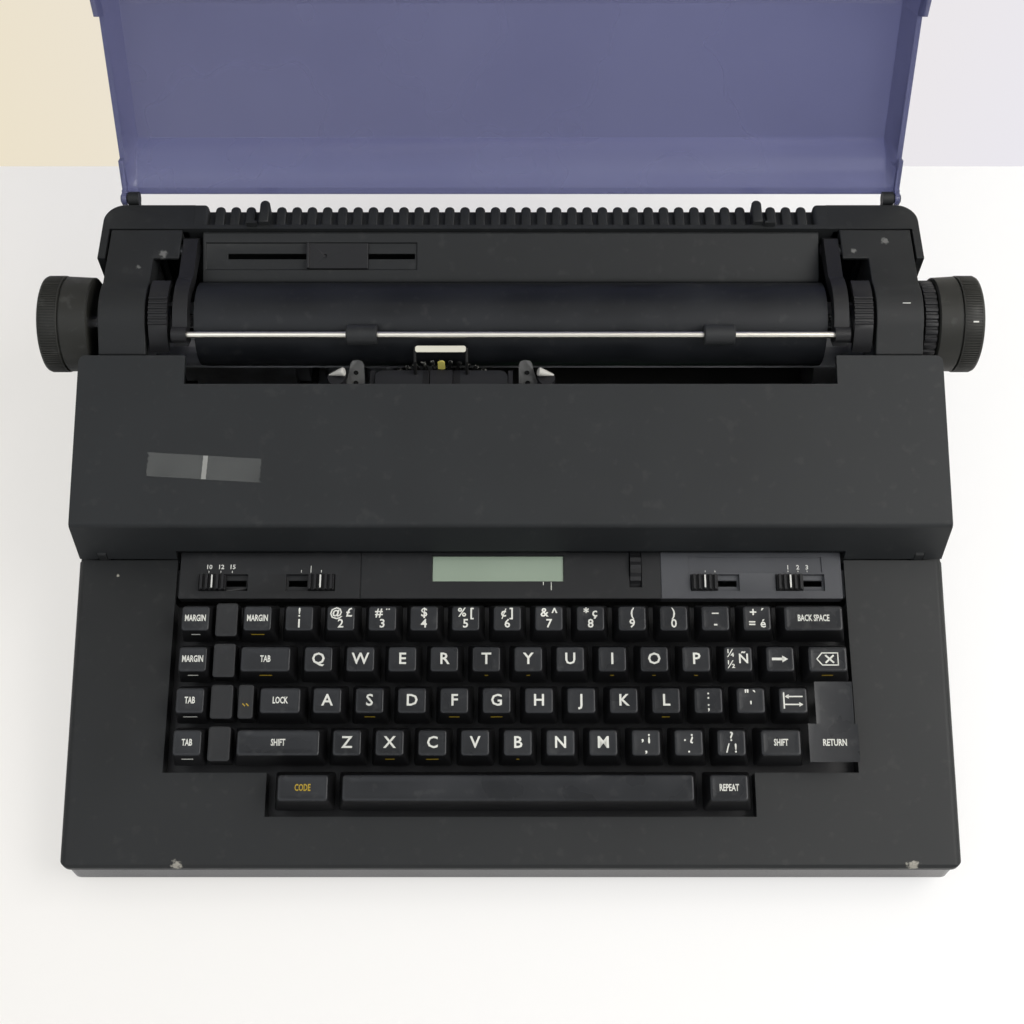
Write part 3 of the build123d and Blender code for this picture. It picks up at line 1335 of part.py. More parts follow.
def bail_arms():
    """The two bail arms: a strip from the pivot, curved over the platen's end to the rod."""
    centre = (PLATEN_Y, PLATEN_Z)
    py, pz = BAIL_PIVOT
    rise = degrees(atan2(BAIL_ARM_TOP - PLATEN_Z, (BAIL_OUTER ** 2 - (BAIL_ARM_TOP - PLATEN_Z) ** 2) ** 0.5))
    outline = [
        (py + BAIL_BOSS, pz),
        (py + BAIL_BOSS, BAIL_ARM_TOP - BAIL_CORNER),
        (py + BAIL_BOSS - BAIL_CORNER, BAIL_ARM_TOP),
    ]
    outline += arc_points(centre, BAIL_OUTER, rise, BAIL_END, ARC_STEPS)
    outline += arc_points(centre, BAIL_INNER, BAIL_END, rise, ARC_STEPS)
    outline += [(py - BAIL_BOSS, pz)]
    arm = yz_prism(outline, *BAIL_ARM_X)
    arm += rod_x(py, pz, BAIL_BOSS, *BAIL_ARM_X)
    arm += rod_x(*BAIL_ROD, BAIL_BOSS, *BAIL_ARM_X)
    arm -= rod_x(py, pz, BAIL_PIN_RADIUS + PIN_FIT, BAIL_ARM_X[0] - JOIN, BAIL_ARM_X[1] + JOIN)
    arm -= rod_x(*BAIL_ROD, BAIL_ROD_RADIUS, BAIL_ARM_X[0] - JOIN, BAIL_ARM_X[1] - JOIN)
    return group(*both_sides(arm))


def bail_rod():
    reach = BAIL_ARM_X[1] - JOIN
    return rod_x(*BAIL_ROD, BAIL_ROD_RADIUS, -reach, reach)


def bail_rollers():
    out = []
    for x in ROLLER_X:
        half = ROLLER_WIDTH / 2
        roller = rod_x(*BAIL_ROD, ROLLER_RADIUS, x - half, x + half)
        roller = chamfer(roller.edges().filter_by(GeomType.CIRCLE), ROLLER_CHAMFER)
        out.append(roller - rod_x(*BAIL_ROD, BAIL_ROD_RADIUS + PIN_FIT, x - half - JOIN, x + half + JOIN))
    return group(*out)


def side_frames():
    """Two steel plates that carry the shafts and rails, with the bail's pins on them."""
    frame = yz_prism(FRAME_OUTLINE, *FRAME_X)
    _, idler, pinion = gear_centres()
    holes = [
        (PLATEN_Y, PLATEN_Z, SHAFT_RADIUS + SHAFT_FIT),
        (*FRONT_RAIL, RAIL_RADIUS + RAIL_FIT),
        (*REAR_RAIL, RAIL_RADIUS + RAIL_FIT),
        (*feed_centre(), FEED_SHAFT + SHAFT_FIT),
    ]
    for y, z, radius in holes:
        frame -= rod_x(y, z, radius, FRAME_X[0] - JOIN, FRAME_X[1] + JOIN)
    frame += rod_x(*BAIL_PIVOT, BAIL_PIN_RADIUS, BAIL_ARM_X[0], FRAME_X[1])
    left, right = mirror(frame, about=Plane.YZ), frame
    right += rod_x(*idler, IDLER_PIN, FRAME_X[0], GEAR_X[1] + JOIN)
    right -= rod_x(*pinion, 2 * MOTOR_SHAFT, FRAME_X[0] - JOIN, FRAME_X[1] + JOIN)
    return group(left, right)


def guide_rails():
    reach = FRAME_X[1] + JOIN
    return group(*[rod_x(y, z, RAIL_RADIUS, -reach, reach) for y, z in (FRONT_RAIL, REAR_RAIL)])


def feed_centre():
    return polar((PLATEN_Y, PLATEN_Z), PLATEN_RADIUS + FEED_RADIUS + FEED_GAP, FEED_ANGLE)


def feed_rollers():
    """Rubber rollers on one shaft that press the paper on the platen from below."""
    y, z = feed_centre()
    shaft = rod_x(y, z, FEED_SHAFT, -FRAME_X[1], FRAME_X[1])
    for x in FEED_X:
        shaft += rod_x(y, z, FEED_RADIUS, x - FEED_WIDTH / 2, x + FEED_WIDTH / 2)
    return shaft


def paper_pan():
    """The curved sheet under the platen that turns the paper round it."""
    centre = (PLATEN_Y, PLATEN_Z)
    a0, a1 = PAN_ANGLES
    outline = arc_points(centre, PAN_RADIUS, a0, a1, ARC_STEPS)
    outline += arc_points(centre, PAN_RADIUS + PAN_SHEET, a1, a0, ARC_STEPS)
    pan = yz_prism(outline, -PAN_HALF, PAN_HALF)
    y, z = feed_centre()
    wide, deep, high = PAN_WINDOW
    half, dy, dz = FEED_WIDTH / 2 + wide, FEED_RADIUS + deep, FEED_RADIUS + high
    for x in FEED_X:
        pan -= block(x - half, x + half, y - dy, y + dy, z - dz, z + dz)
    return pan


def line_feed_motor():
    """The motor that turns the platen, bolted on the inside of the right frame."""
    y, z = gear_centres()[2]
    x1 = FRAME_X[0]
    return rod_x(y, z, MOTOR_RADIUS, x1 - MOTOR_LENGTH, x1)


def feed_pinion():
    _, _, centre = gear_centres()
    gear = spur_gear(centre, PINION_TEETH, MOTOR_SHAFT / 2, gear_turns()[2])
    return gear + rod_x(*centre, MOTOR_SHAFT, FRAME_X[0] + PINION_COLLAR_GAP, GEAR_X[0] + JOIN)


def idler_gear():
    _, centre, _ = gear_centres()
    return spur_gear(centre, IDLER_TEETH, IDLER_PIN + SHAFT_FIT, gear_turns()[1])


def carriage_body():
    """The print carriage: side plates on two bearings, with the wheel motor and hammer guide."""
    x0, x1 = PRINT_X - CARRIAGE_HALF, PRINT_X + CARRIAGE_HALF
    front, back, floor = CARRIAGE_FLOOR
    body = yz_prism(CARRIAGE_SIDE, x0, x0 + PLATE) + yz_prism(CARRIAGE_SIDE, x1 - PLATE, x1)
    for rail in (FRONT_RAIL, REAR_RAIL):
        body += rod_x(*rail, RAIL_RADIUS + BEARING_WALL, x0, x1)
    body += block(x0, x1, front, back, floor, floor + PLATE)
    body += block(x0, x1, CASSETTE_Y[0], CASSETTE_Y[1] - PLATE, SHELF_Z - PLATE, SHELF_Z)
    body += block(x0, x1, BULKHEAD_Y[0], BULKHEAD_Y[1], floor, SHELF_Z)
    body += rod_y(PRINT_X, PRINT_WHEEL_Z, WHEEL_MOTOR_RADIUS, WHEEL_MOTOR_BACK, BULKHEAD_Y[1])
    body += block(
        PRINT_X - HAMMER_BLOCK, PRINT_X + HAMMER_BLOCK, HAMMER_BLOCK_BACK, BULKHEAD_Y[1], SHELF_Z - JOIN,
        CASSETTE_TOP - JOINT_GAP,
    )
    body += block(x0, x0 + CLAMP_WIDTH, CLAMP_Y[0], CLAMP_Y[1], BELT_Z[0] - JOIN, floor + JOIN)
    body += pointer_arms()
    return body - carriage_bores(x0, x1)


def carriage_bores(x0, x1):
    """Cuts for the carriage: the belt's slit, the rail bearings, the hammer's and the wheel's bores."""
    belt = BELT_Y - PULLEY_RADIUS - BELT_FIT - BELT_THICKNESS / 2
    slit = BELT_THICKNESS / 2 + JOINT_GAP
    bores = [block(x0 - JOIN, x1, belt - slit, belt + slit, BELT_Z[0] - 2 * JOIN, BELT_Z[1] + JOINT_GAP)]
    for rail in (FRONT_RAIL, REAR_RAIL):
        bores.append(rod_x(*rail, RAIL_RADIUS + RAIL_FIT, x0 - JOIN, x1 + JOIN))
    end = BULKHEAD_Y[1] + JOIN
    bores.append(rod_y(PRINT_X, HAMMER_Z, HAMMER_RADIUS + PIN_FIT, HAMMER_BORE, end))
    bores.append(rod_y(PRINT_X, PRINT_WHEEL_Z, WHEEL_SHAFT + PIN_FIT, WHEEL_SHAFT_BACK - JOIN, end))
    return bores


def print_hammer():
    """The hammer rod that drives a petal at the platen."""
    return rod_y(PRINT_X, HAMMER_Z, HAMMER_RADIUS, HAMMER_BACK, HAMMER_TIP)


def petal(angle):
    """One petal from the wheel's root to its tip: a thin stalk with a wider head."""
    root, tip = PETAL_ROOT, PRINT_WHEEL_RADIUS
    near = PETAL_WIDTH / 2 / root
    far = PETAL_WIDTH / 2 / tip
    head = PETAL_HEAD / 2 / tip
    shoulder = tip - PETAL_HEAD_LENGTH
    side = [(root, near), (shoulder, far), (shoulder, head), (tip, head)]
    return [(r, angle - a) for r, a in side] + [(r, angle + a) for r, a in reversed(side)]


def print_wheel():
    """The daisy wheel: a hub on its shaft and a ring of sprung petals."""
    outline = []
    for i in range(PETALS):
        outline += petal(pi / 2 + i * 2 * pi / PETALS)
    points = [(PRINT_X + r * cos(a), PRINT_WHEEL_Z + r * sin(a)) for r, a in outline]
    face = Plane.XZ.offset(-PRINT_WHEEL_Y - PETAL_SHEET / 2) * make_face(Polyline(*points, close=True))
    wheel = extrude(face, PETAL_SHEET)
    radius, width = WHEEL_HUB
    wheel += rod_y(PRINT_X, PRINT_WHEEL_Z, radius, PRINT_WHEEL_Y - width / 2, PRINT_WHEEL_Y + width / 2)
    return wheel + rod_y(PRINT_X, PRINT_WHEEL_Z, WHEEL_SHAFT, WHEEL_SHAFT_BACK, PRINT_WHEEL_Y)


def ribbon_cassette():
    """The ribbon cassette on the carriage, open in the middle for the hammer."""
    half = CARRIAGE_HALF - PLATE - JOINT_GAP
    y0, y1 = CASSETTE_Y
    plan = RectangleRounded(2 * half, y1 - y0 - JOIN, CASSETTE_CORNER)
    body = extrude(Pos(PRINT_X, (y0 + y1 - JOIN) / 2, SHELF_Z) * plan, CASSETTE_TOP - SHELF_Z)
    notch = HAMMER_BLOCK + JOINT_GAP
    low, high = SHELF_Z - JOIN, CASSETTE_TOP + JOIN
    body -= block(PRINT_X - notch, PRINT_X + notch, HAMMER_BLOCK_BACK - JOIN, y1 + JOIN, low, high)
    dx, y = SPOOL_PLACE
    for x in (PRINT_X - dx, PRINT_X + dx):
        body += rod_z(x, y, SPOOL_RADIUS, CASSETTE_TOP - JOIN, CASSETTE_TOP + SPOOL_HEIGHT)
    return body


def ribbon_loop():
    """The bright wire loop that steadies the ribbon in front of the platen."""
    parts = []
    for x in (PRINT_X - LOOP_HALF, PRINT_X + LOOP_HALF):
        for (ya, za), (yb, zb) in zip(LOOP_PATH, LOOP_PATH[1:]):
            leg = Edge.make_line((x, ya, za), (x, yb, zb))
            start = Plane(origin=(x, ya, za), z_dir=leg.tangent_at(0))
            parts.append(sweep(start * Circle(LOOP_RADIUS), leg))
        for y, z in LOOP_PATH[1:]:
            parts.append(Pos(x, y, z) * Sphere(LOOP_RADIUS))
    return rod_x(*LOOP_PATH[-1], LOOP_RADIUS, PRINT_X - LOOP_HALF, PRINT_X + LOOP_HALF) + parts


def card_holder():
    """Two light plates, each with two sight holes, that hold the paper to the platen."""
    return [card_plate(side) for side in (-1, 1)]


def card_plate(side):
    """One guide plate, with its foot and the hook over the carriage's side."""
    x = PRINT_X + side * PLATE_OFFSET
    y0, y1 = PLATE_Y
    outline = [(x + side * dx, z) for dx, z in PLATE_OUTLINE]
    plate = extrude(Plane.XZ.offset(-y1) * make_face(Polyline(*outline, close=True)), y1 - y0)
    for z in SIGHT_HOLES:
        plate -= rod_y(x + side * SIGHT_HOLE_X, z, SIGHT_HOLE_RADIUS, y0 - JOIN, y1 + JOIN)
    inner = PRINT_X + side * (CARRIAGE_HALF + PLATE_FIT)
    front, z0, z1 = PLATE_FOOT
    plate += block(inner, x + side * PLATE_OUTLINE[1][0], front, y1, z0, z1)
    end, bottom, width = PLATE_HOOK
    return plate + block(inner, inner + side * width, front, end, bottom, z1)


def pointer_arms():
    """The dark arms outside the guide plates, with a round post at their ends."""
    arms = []
    y0, y1, y2 = ARM_Y
    z0, z1 = ARM_Z
    for side in (-1, 1):
        x = PRINT_X + side * TIP_OFFSET
        inner = PRINT_X + side * (CARRIAGE_HALF - PLATE / 2)
        arm = block(inner, x, y0, y1, z0, z1) + block(x - ARM_HALF, x + ARM_HALF, y0, y2, z0, z1)
        arms.append(arm + rod_z(x, TIP_POST_Y, TIP_POST_RADIUS, z0, TIP_Z))
    return arms


def pointer_tips():
    """Pale pointed tips on the posts, each pointing outwards."""
    outline = [(TIP_OFFSET + x, y) for x, y in TIP_OUTLINE]
    plan = Plane.XY.offset(TIP_Z) * make_face(Polyline(*outline, close=True))
    tip = extrude(plan, TIP_HEIGHT, taper=TIP_TAPER)
    return [Pos(PRINT_X, 0, 0) * solid for solid in both_sides(tip)]


def belt_loop(radius, z0, z1):
    return extrude(Pos(0, BELT_Y, z0) * SlotCenterToCenter(2 * PULLEY_X, 2 * radius), z1 - z0)


def drive_belt():
    inner = PULLEY_RADIUS + BELT_FIT
    return belt_loop(inner + BELT_THICKNESS, *BELT_Z) - belt_loop(inner, BELT_Z[0] - JOIN, BELT_Z[1] + JOIN)


def pulley(side):
    """A flanged belt pulley; the left one sits on the carriage motor's shaft."""
    x = side * PULLEY_X
    low, high = BELT_Z[0] - PULLEY_SIDE, BELT_Z[1] + PULLEY_SIDE
    body = rod_z(x, BELT_Y, PULLEY_RADIUS, low, high)
    for z0, z1 in ((low - PULLEY_FLANGE, low), (high, high + PULLEY_FLANGE)):
        body += rod_z(x, BELT_Y, PULLEY_RADIUS + BELT_THICKNESS, z0, z1)
    return body - rod_z(x, BELT_Y, PULLEY_PIN + PIN_FIT, low - 2 * PULLEY_FLANGE, high + 2 * PULLEY_FLANGE)


def carriage_motor():
    """The motor under the left end of the belt."""
    x = -PULLEY_X
    can = rod_z(x, BELT_Y, CARRIAGE_MOTOR_RADIUS, FOOT_HEIGHT + WALL, CARRIAGE_MOTOR_TOP)
    return can + rod_z(x, BELT_Y, PULLEY_PIN, CARRIAGE_MOTOR_TOP, BELT_Z[1] + PULLEY_PIN_PROUD)


def main_board():
    """The main circuit board on its posts, with the larger parts on it."""
    x0, x1, y0, y1 = MAIN_BOARD
    top = BOARD_Z + BOARD_THICKNESS
    board = block(x0, x1, y0, y1, BOARD_Z, top)
    width, depth, height = CHIP
    for i in range(CHIP_COUNT):
        x = x0 + CHIP_FIRST + i * CHIP_PITCH
        y = y0 + CHIP_FRONT
        board += block(x - width / 2, x + width / 2, y, y + depth, top, top + height)
    radius, height = CAN
    for i in range(CAN_COUNT):
        board += rod_z(x0 + CAN_X, y0 + CAN_FIRST + i * CAN_PITCH, radius, top, top + height)
    return board


def power_supply():
    """The transformer and its board at the back, under the paper table."""
    x0, x1, y0, y1 = SUPPLY
    base = FOOT_HEIGHT + WALL
    width, height, inset = CORE
    core = block(x0, x0 + width, y0 + inset, y1, base, base + height)
    side, back, low, high = WINDING
    core += block(x0 - side, x0 + width + side, y0 + inset + back, y1 - back, base + low, base + high)
    board = block(x0 + SUPPLY_BOARD_X, x1, y0, y1, base, base + BOARD_THICKNESS)
    radius, height = SUPPLY_CAN
    for i in range(CAN_COUNT):
        x = x0 + SUPPLY_CAN_FIRST + i * SUPPLY_CAN_PITCH
        board += rod_z(x, (y0 + y1) / 2, radius, base + BOARD_THICKNESS / 2, base + height)
    return group(core, board)


def lid_outline(inset, below):
    """The closed lid from the side: skin from the pins forward, then back along the rims."""
    py, pz = LID_PIVOT
    skin = LID_SKIN_Z - inset
    slope = tan(radians(LID_SLOPE))
    front_y = LID_FRONT + inset
    bend = inset * tan(radians(LID_SLOPE) / 2)
    front_z = skin - (LID_FLAT_FRONT + bend - front_y) * slope
    step = LID_STEP_Y
    end = py + inset
    upper = [
        (end, pz - below * LID_TAPER),
        (end, LID_REAR_SKIN - inset),
        (py - LUG_RADIUS, LID_REAR_SKIN - inset),
        (step + (LID_STEP_RUN / 2) - inset * LID_TAPER, LID_REAR_SKIN + LID_STEP_CREST - inset),
        (step - (LID_STEP_RUN / 2) - inset * LID_TAPER, skin),
        (LID_FLAT_FRONT + bend, skin),
        (front_y, front_z),
    ]
    back = LID_RIM_SET_BACK
    foot = COVER_FRONT[0] - back
    clear = LID_CLEAR + LID_RIM_RISE - below
    ear = py - LUG_RADIUS - JOIN
    lower = [
        (front_y, deck_z(LID_FRONT) + LID_CLEAR - below),
        (foot, deck_z(foot) + LID_CLEAR - below),
        (COVER_RIDGE[0] - back, COVER_RIDGE[1] + clear),
        (COVER_RIDGE[0], COVER_RIDGE[1] + clear),
        (COVER_BACK[0], COVER_BACK[1] + clear),
        (COVER_BACK[0] + LID_RIM_CLEAR, LID_MAIN_RIM - below),
        (step, LID_MAIN_RIM - below),
        (step, LID_REAR_RIM - below),
        (ear, LID_REAR_RIM - below),
        (ear, pz - below * LID_TAPER),
    ]
    return upper, lower


def lid_block(inset, below, half, top_half):
    """The lid's block with its upper side edges drawn in over the draft depth."""
    upper, lower = lid_outline(inset, below)
    full = make_face(Polyline(*(upper + lower), close=True))
    middle = extrude(Plane.YZ.offset(-top_half) * full, 2 * top_half)
    drop = LID_DRAFT_DEPTH
    floor = [
        (y, min(z, max(z - drop, rim)))
        for (y, z), rim in zip(upper, lid_rims(upper, below))
    ]
    thin = make_face(Polyline(*(floor + lower), close=True))
    for side in (-1, 1):
        near = Plane.YZ.offset(side * top_half) * full
        far = Plane.YZ.offset(side * half) * thin
        middle += loft([near, far], ruled=True)
    return middle


def lid_rims(upper, below):
    """The lowest that the drafted edge may come at each point of the skin."""
    rims = []
    for y, _ in upper:
        main = y < LID_STEP_Y + LID_REAR_CLEAR
        rims.append((LID_MAIN_RIM + LID_RIM_CLEAR if main else LID_REAR_SKIN - LID_RIM_CLEAR) - below)
    rims[0] = upper[0][1]
    rims[-1] = upper[-1][1] - LID_DRAFT_DEPTH
    return rims


def lid():
    """The clear lid, shown open: skin, side walls with pin holes, front wall."""
    outer = lid_block(0, 0, LID_HALF, LID_TOP_HALF)
    inner = lid_block(LID_WALL, LID_WALL, LID_HALF - LID_WALL, LID_TOP_HALF - LID_WALL)
    shell = outer - inner
    py, pz = LID_PIVOT
    for side in (-1, 1):
        shell += rod_x(py, pz, LID_EAR, side * (LID_HALF - LID_WALL), side * LID_HALF)
        shell -= rod_x(
            py, pz, LID_PIN_RADIUS + PIN_FIT, side * (LID_HALF - 2 * LID_WALL), side * (LID_HALF + JOIN)
        )
    return turn_about_x(shell, LID_PIVOT, -LID_OPEN)


def turn_about_x(solid, centre, angle):
    y, z = centre
    return Pos(0, y, z) * Rot(angle, 0, 0) * Pos(0, -y, -z) * solid


def all_nodes():
    nodes = {
        "base_tray": base_tray(),
        "keyboard_deck": keyboard_deck(),
        "rear_case": rear_case(),
        "access_cover": access_cover(),
        "end_covers": end_covers(),
        "paper_table": paper_table(),
        "paper_guide": paper_guide(),
        "control_panel": control_panel(),
        "display_module": display_module(),
        "thumbwheel": thumbwheel(),
        "feet": feet(),
        "case_screws": case_screws(),
        "power_inlet": power_inlet(),
        "circuit_boards": group(main_board(), keyboard_circuit()),
        "power_supply": power_supply(),
        "keyboard_plate": keyboard_plate(),
        "side_frames": side_frames(),
        "guide_rails": guide_rails(),
        "paper_pan": paper_pan(),
        "motors": group(line_feed_motor(), carriage_motor()),
        "drive_belt": drive_belt(),
        "drive_pulley": pulley(-1),
        "idler_pulley": pulley(1),
        "feed_rollers": feed_rollers(),
        "platen_roller": platen_roller(),
        "platen_shaft": platen_shaft(),
        "platen_gear": platen_gear(),
        "left_knob": platen_knob(-1, LEFT_HUB_INNER),
        "right_knob": platen_knob(1, RIGHT_HUB_INNER),
        "idler_gear": idler_gear(),
        "feed_pinion": feed_pinion(),
        "clutch_ring": clutch_ring(),
        "paper_release_lever": lever(-1),
        "line_spacing_lever": lever(1),
        "bail_arms": bail_arms(),
        "bail_rod": bail_rod(),
        "bail_rollers": bail_rollers(),
        "carriage_body": carriage_body(),
        "ribbon_cassette": ribbon_cassette(),
        "ribbon_loop": ribbon_loop(),
        "card_guides": group(*card_holder(), *pointer_tips()),
        "print_wheel": print_wheel(),
        "print_hammer": print_hammer(),
        "lid": lid(),
        "blank_keys": blank_keys(),
        "return_key": return_key(),
    }
    for name in SWITCH_CENTRES:
        nodes[name + "_switch"] = slide_switch(name)
    for name in KEY_GROUPS:
        nodes[name] = key_group(name)
    return nodes


def main():
    os.makedirs("parts", exist_ok=True)
    nodes = all_nodes()
    boxes = [solid.bounding_box() for solid in nodes.values()]
    middle = (min(b.min.Y for b in boxes) + max(b.max.Y for b in boxes)) / 2
    print("nodes", len(nodes), "drawn back by", round(middle, 4))
    print("keys press", KEY_TRAVEL, "the hammer strikes", HAMMER_TRAVEL)
    print("the carriage runs", CARRIAGE_LEFT, "to the left and", CARRIAGE_RIGHT, "to the right")
    for name, solid in nodes.items():
        export_step(Pos(0, -middle, 0) * solid, os.path.join("parts", name + ".step"))


main()
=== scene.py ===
import bmesh
import bpy
from math import atan2, pi, radians, sin
from mathutils import Matrix, Vector


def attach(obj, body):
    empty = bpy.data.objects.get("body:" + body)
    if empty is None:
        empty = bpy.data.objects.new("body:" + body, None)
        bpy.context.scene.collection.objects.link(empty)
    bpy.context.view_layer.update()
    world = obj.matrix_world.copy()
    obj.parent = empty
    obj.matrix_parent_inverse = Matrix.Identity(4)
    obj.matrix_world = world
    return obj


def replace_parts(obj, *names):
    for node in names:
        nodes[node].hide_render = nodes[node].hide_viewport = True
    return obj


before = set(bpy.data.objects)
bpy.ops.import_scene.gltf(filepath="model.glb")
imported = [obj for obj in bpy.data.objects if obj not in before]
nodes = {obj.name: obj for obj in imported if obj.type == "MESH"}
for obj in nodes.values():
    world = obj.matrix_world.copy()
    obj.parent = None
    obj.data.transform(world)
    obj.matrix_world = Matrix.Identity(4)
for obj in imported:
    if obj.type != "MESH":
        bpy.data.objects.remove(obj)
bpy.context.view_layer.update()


# The table top and the wall behind it, both plain and pale, with painted light: both glow to the camera, warmer and
# dimmer at the left and cooler at the right, the table in part and the wall wholly. The wall is seen only from the
# front, so that the back views look past it.
def wired(tree, kind, inputs, **settings):
    made = tree.nodes.new("ShaderNode" + kind)
    for name, value in settings.items():
        setattr(made, name, value)
    for socket, value in inputs.items():
        if isinstance(value, bpy.types.NodeSocket):
            tree.links.new(value, made.inputs[socket])
        else:
            made.inputs[socket].default_value = value
    return made.outputs


def new_finish(name, values):
    finish = bpy.data.materials.new(name)
    finish.use_nodes = True
    shader = finish.node_tree.nodes["Principled BSDF"]
    for socket, value in values.items():
        shader.inputs[socket].default_value = value
    return finish, finish.node_tree, shader


def show(tree, surface):
    tree.links.new(surface, tree.nodes["Material Output"].inputs["Surface"])


def object_place(tree):
    return wired(tree, "TexCoord", {})["Object"]


def mixed(tree, factor, under, over):
    return wired(tree, "Mix", {"Factor": factor, "A": under, "B": over}, data_type="RGBA")["Result"]


def calculated(tree, operation, *values):
    return wired(tree, "Math", dict(enumerate(values)), operation=operation)[0]


# Painted light: a glow seen by camera and transmission rays, graded across X from the left colour to the right colour,
# mixed in by the given share.
def painted_light_glow(tree, left, right, share):
    axes = wired(tree, "SeparateXYZ", {0: object_place(tree)})
    spread = wired(tree, "MapRange", {"From Min": -0.30, "From Max": 0.30, "Value": axes["X"]})["Result"]
    painted_glow = wired(tree, "Emission", {"Color": mixed(tree, spread, (*left, 1), (*right, 1))})[0]
    path = wired(tree, "LightPath", {})
    seen = calculated(tree, "MAXIMUM", path["Is Camera Ray"], path["Is Transmission Ray"])
    part = calculated(tree, "MULTIPLY", seen, share)
    return wired(tree, "MixShader", {0: part, 1: tree.nodes["Principled BSDF"].outputs[0], 2: painted_glow})[0]


def placed(name, shape, finishes):
    mesh = bpy.data.meshes.new(name)
    shape.to_mesh(mesh)
    shape.free()
    for finish in finishes:
        mesh.materials.append(finish)
    piece = bpy.data.objects.new(name, mesh)
    bpy.context.scene.collection.objects.link(piece)
    return piece


def stage_plane(name, size, place, tilt, finish):
    shape = bmesh.new()
    bmesh.ops.create_grid(shape, x_segments=1, y_segments=1, size=size / 2)
    bmesh.ops.rotate(shape, verts=shape.verts, matrix=Matrix.Rotation(tilt, 3, "X"))
    bmesh.ops.translate(shape, verts=shape.verts, vec=place)
    plane = placed(name, shape, [finish])
    return plane


wall_y = 0.2222
table_white, tree, _ = new_finish("table_white", {"Base Color": (0.86, 0.85, 0.84, 1), "Roughness": 0.55})
# Painted light: the table glows to the camera, warmer and dimmer at the left than at the right.
show(tree, painted_light_glow(tree, (0.95, 0.92, 0.87), (1.0, 1.0, 1.0), 0.62))
stage_plane("table_top", 6.0, (0, 0, 0), 0, table_white)
wall_white, tree, _ = new_finish("wall_white", {"Base Color": (0.72, 0.70, 0.66, 1), "Roughness": 0.8})
backing = wired(tree, "NewGeometry", {})["Backfacing"]
# Painted light: the wall glows wholly to the camera, warm at the left and cool at the right.
wall_painted_light = painted_light_glow(tree, (0.84, 0.76, 0.60), (0.83, 0.81, 0.86), 1.0)
show(tree, wired(tree, "MixShader", {0: backing, 1: wall_painted_light, 2: wired(tree, "BsdfTransparent", {})[0]})[0])
wall = stage_plane("wall", 3.0, (0, wall_y, 1.45), pi / 2, wall_white)
wall.visible_shadow = False


# The camera stands above and in front of the machine, tilted down at it. The light is soft, from two large lamps
# overhead and a pale room.
lit_spot = Vector((0, 0, 0.05))
for name, size, power, place, colour in (
        ("key_lamp", (1.2, 0.9), 17, (0.95, -0.25, 1.15), (1.0, 0.98, 0.95)),
        ("fill_lamp", (1.6, 1.2), 6, (-0.7, -0.7, 1.6), (0.93, 0.96, 1.0))):
    light = bpy.data.lights.new(name, "AREA")
    light.shape = "RECTANGLE"
    light.size, light.size_y = size
    light.energy = power
    light.color = colour
    lamp = bpy.data.objects.new(name, light)
    bpy.context.scene.collection.objects.link(lamp)
    lamp.location = place
    lamp.rotation_euler = (lit_spot - Vector(place)).to_track_quat("-Z", "Y").to_euler()
camera = bpy.data.objects.new("camera", bpy.data.cameras.new("camera"))
bpy.context.scene.collection.objects.link(camera)
camera.data.sensor_width = 36
camera.data.lens = 52.98
camera.data.clip_start = 0.05
camera.location = (0.0006, -0.3924, 0.6845)
camera.rotation_euler = (radians(29), 0, 0)
bpy.context.scene.camera = camera
world = bpy.data.worlds.new("room")
bpy.context.scene.world = world
world.use_nodes = True
world.node_tree.nodes["Background"].inputs["Color"].default_value = (0.95, 0.97, 1.0, 1)
world.node_tree.nodes["Background"].inputs["Strength"].default_value = 0.52
bpy.context.scene.view_settings.view_transform = "Standard"


# The base tray is a shallow dark moulding with a fine spark-eroded grain, screwed up into the two housings from below,
# on four rubber feet. Its edges are soft, as they leave the tool. The case narrows a little towards the front, where
# the tray comes flush with the front of the keyboard surround.
def new_group(name, inputs, outputs):
    group = bpy.data.node_groups.new(name, "ShaderNodeTree")
    for way, sockets in (("INPUT", inputs), ("OUTPUT", outputs)):
        for socket, kind in sockets.items():
            group.interface.new_socket(socket, in_out=way, socket_type="NodeSocket" + kind)
    return group, group.nodes.new("NodeGroupInput").outputs, group.nodes.new("NodeGroupOutput").inputs


surface_outputs = {"Colour": "Color", "Roughness": "Float", "Normal": "Vector"}


def grain_group():
    tree, given, result = new_group("moulded_grain", {
        "Colour": "Color", "Grain": "Float", "Depth": "Float", "Blotch": "Float", "Rough": "Float", "Scuff": "Float",
    }, surface_outputs)
    place = object_place(tree)
    grit = wired(tree, "TexNoise", {"Vector": place, "Scale": given["Grain"], "Detail": 2})["Fac"]
    cloud = wired(tree, "TexNoise", {"Vector": place, "Scale": 24, "Detail": 4})["Fac"]
    scuff = wired(tree, "TexNoise", {"Vector": place, "Scale": 160, "Detail": 5})["Fac"]
    bump = wired(tree, "Bump", {"Distance": 0.00006, "Height": grit, "Strength": given["Depth"]})["Normal"]
    spread = wired(tree, "MapRange", {
        "From Min": 0.3, "From Max": 0.7, "To Min": -1.0, "To Max": 1.0, "Value": cloud})["Result"]
    amount = calculated(tree, "MULTIPLY", spread, given["Blotch"])
    shade = calculated(tree, "ADD", amount, 1.0)
    tint = wired(tree, "VectorMath", {0: given["Colour"], "Scale": shade}, operation="SCALE")[0]
    worn = wired(tree, "MapRange", {"From Min": 0.60, "From Max": 0.72, "Value": scuff})["Result"]
    colour = mixed(tree, calculated(tree, "MULTIPLY", worn, given["Scuff"]), tint, (0.16, 0.16, 0.155, 1))
    tree.links.new(colour, result["Colour"])
    tree.links.new(calculated(tree, "MULTIPLY_ADD", amount, 0.45, given["Rough"]), result["Roughness"])
    tree.links.new(bump, result["Normal"])
    return tree


grain = grain_group()


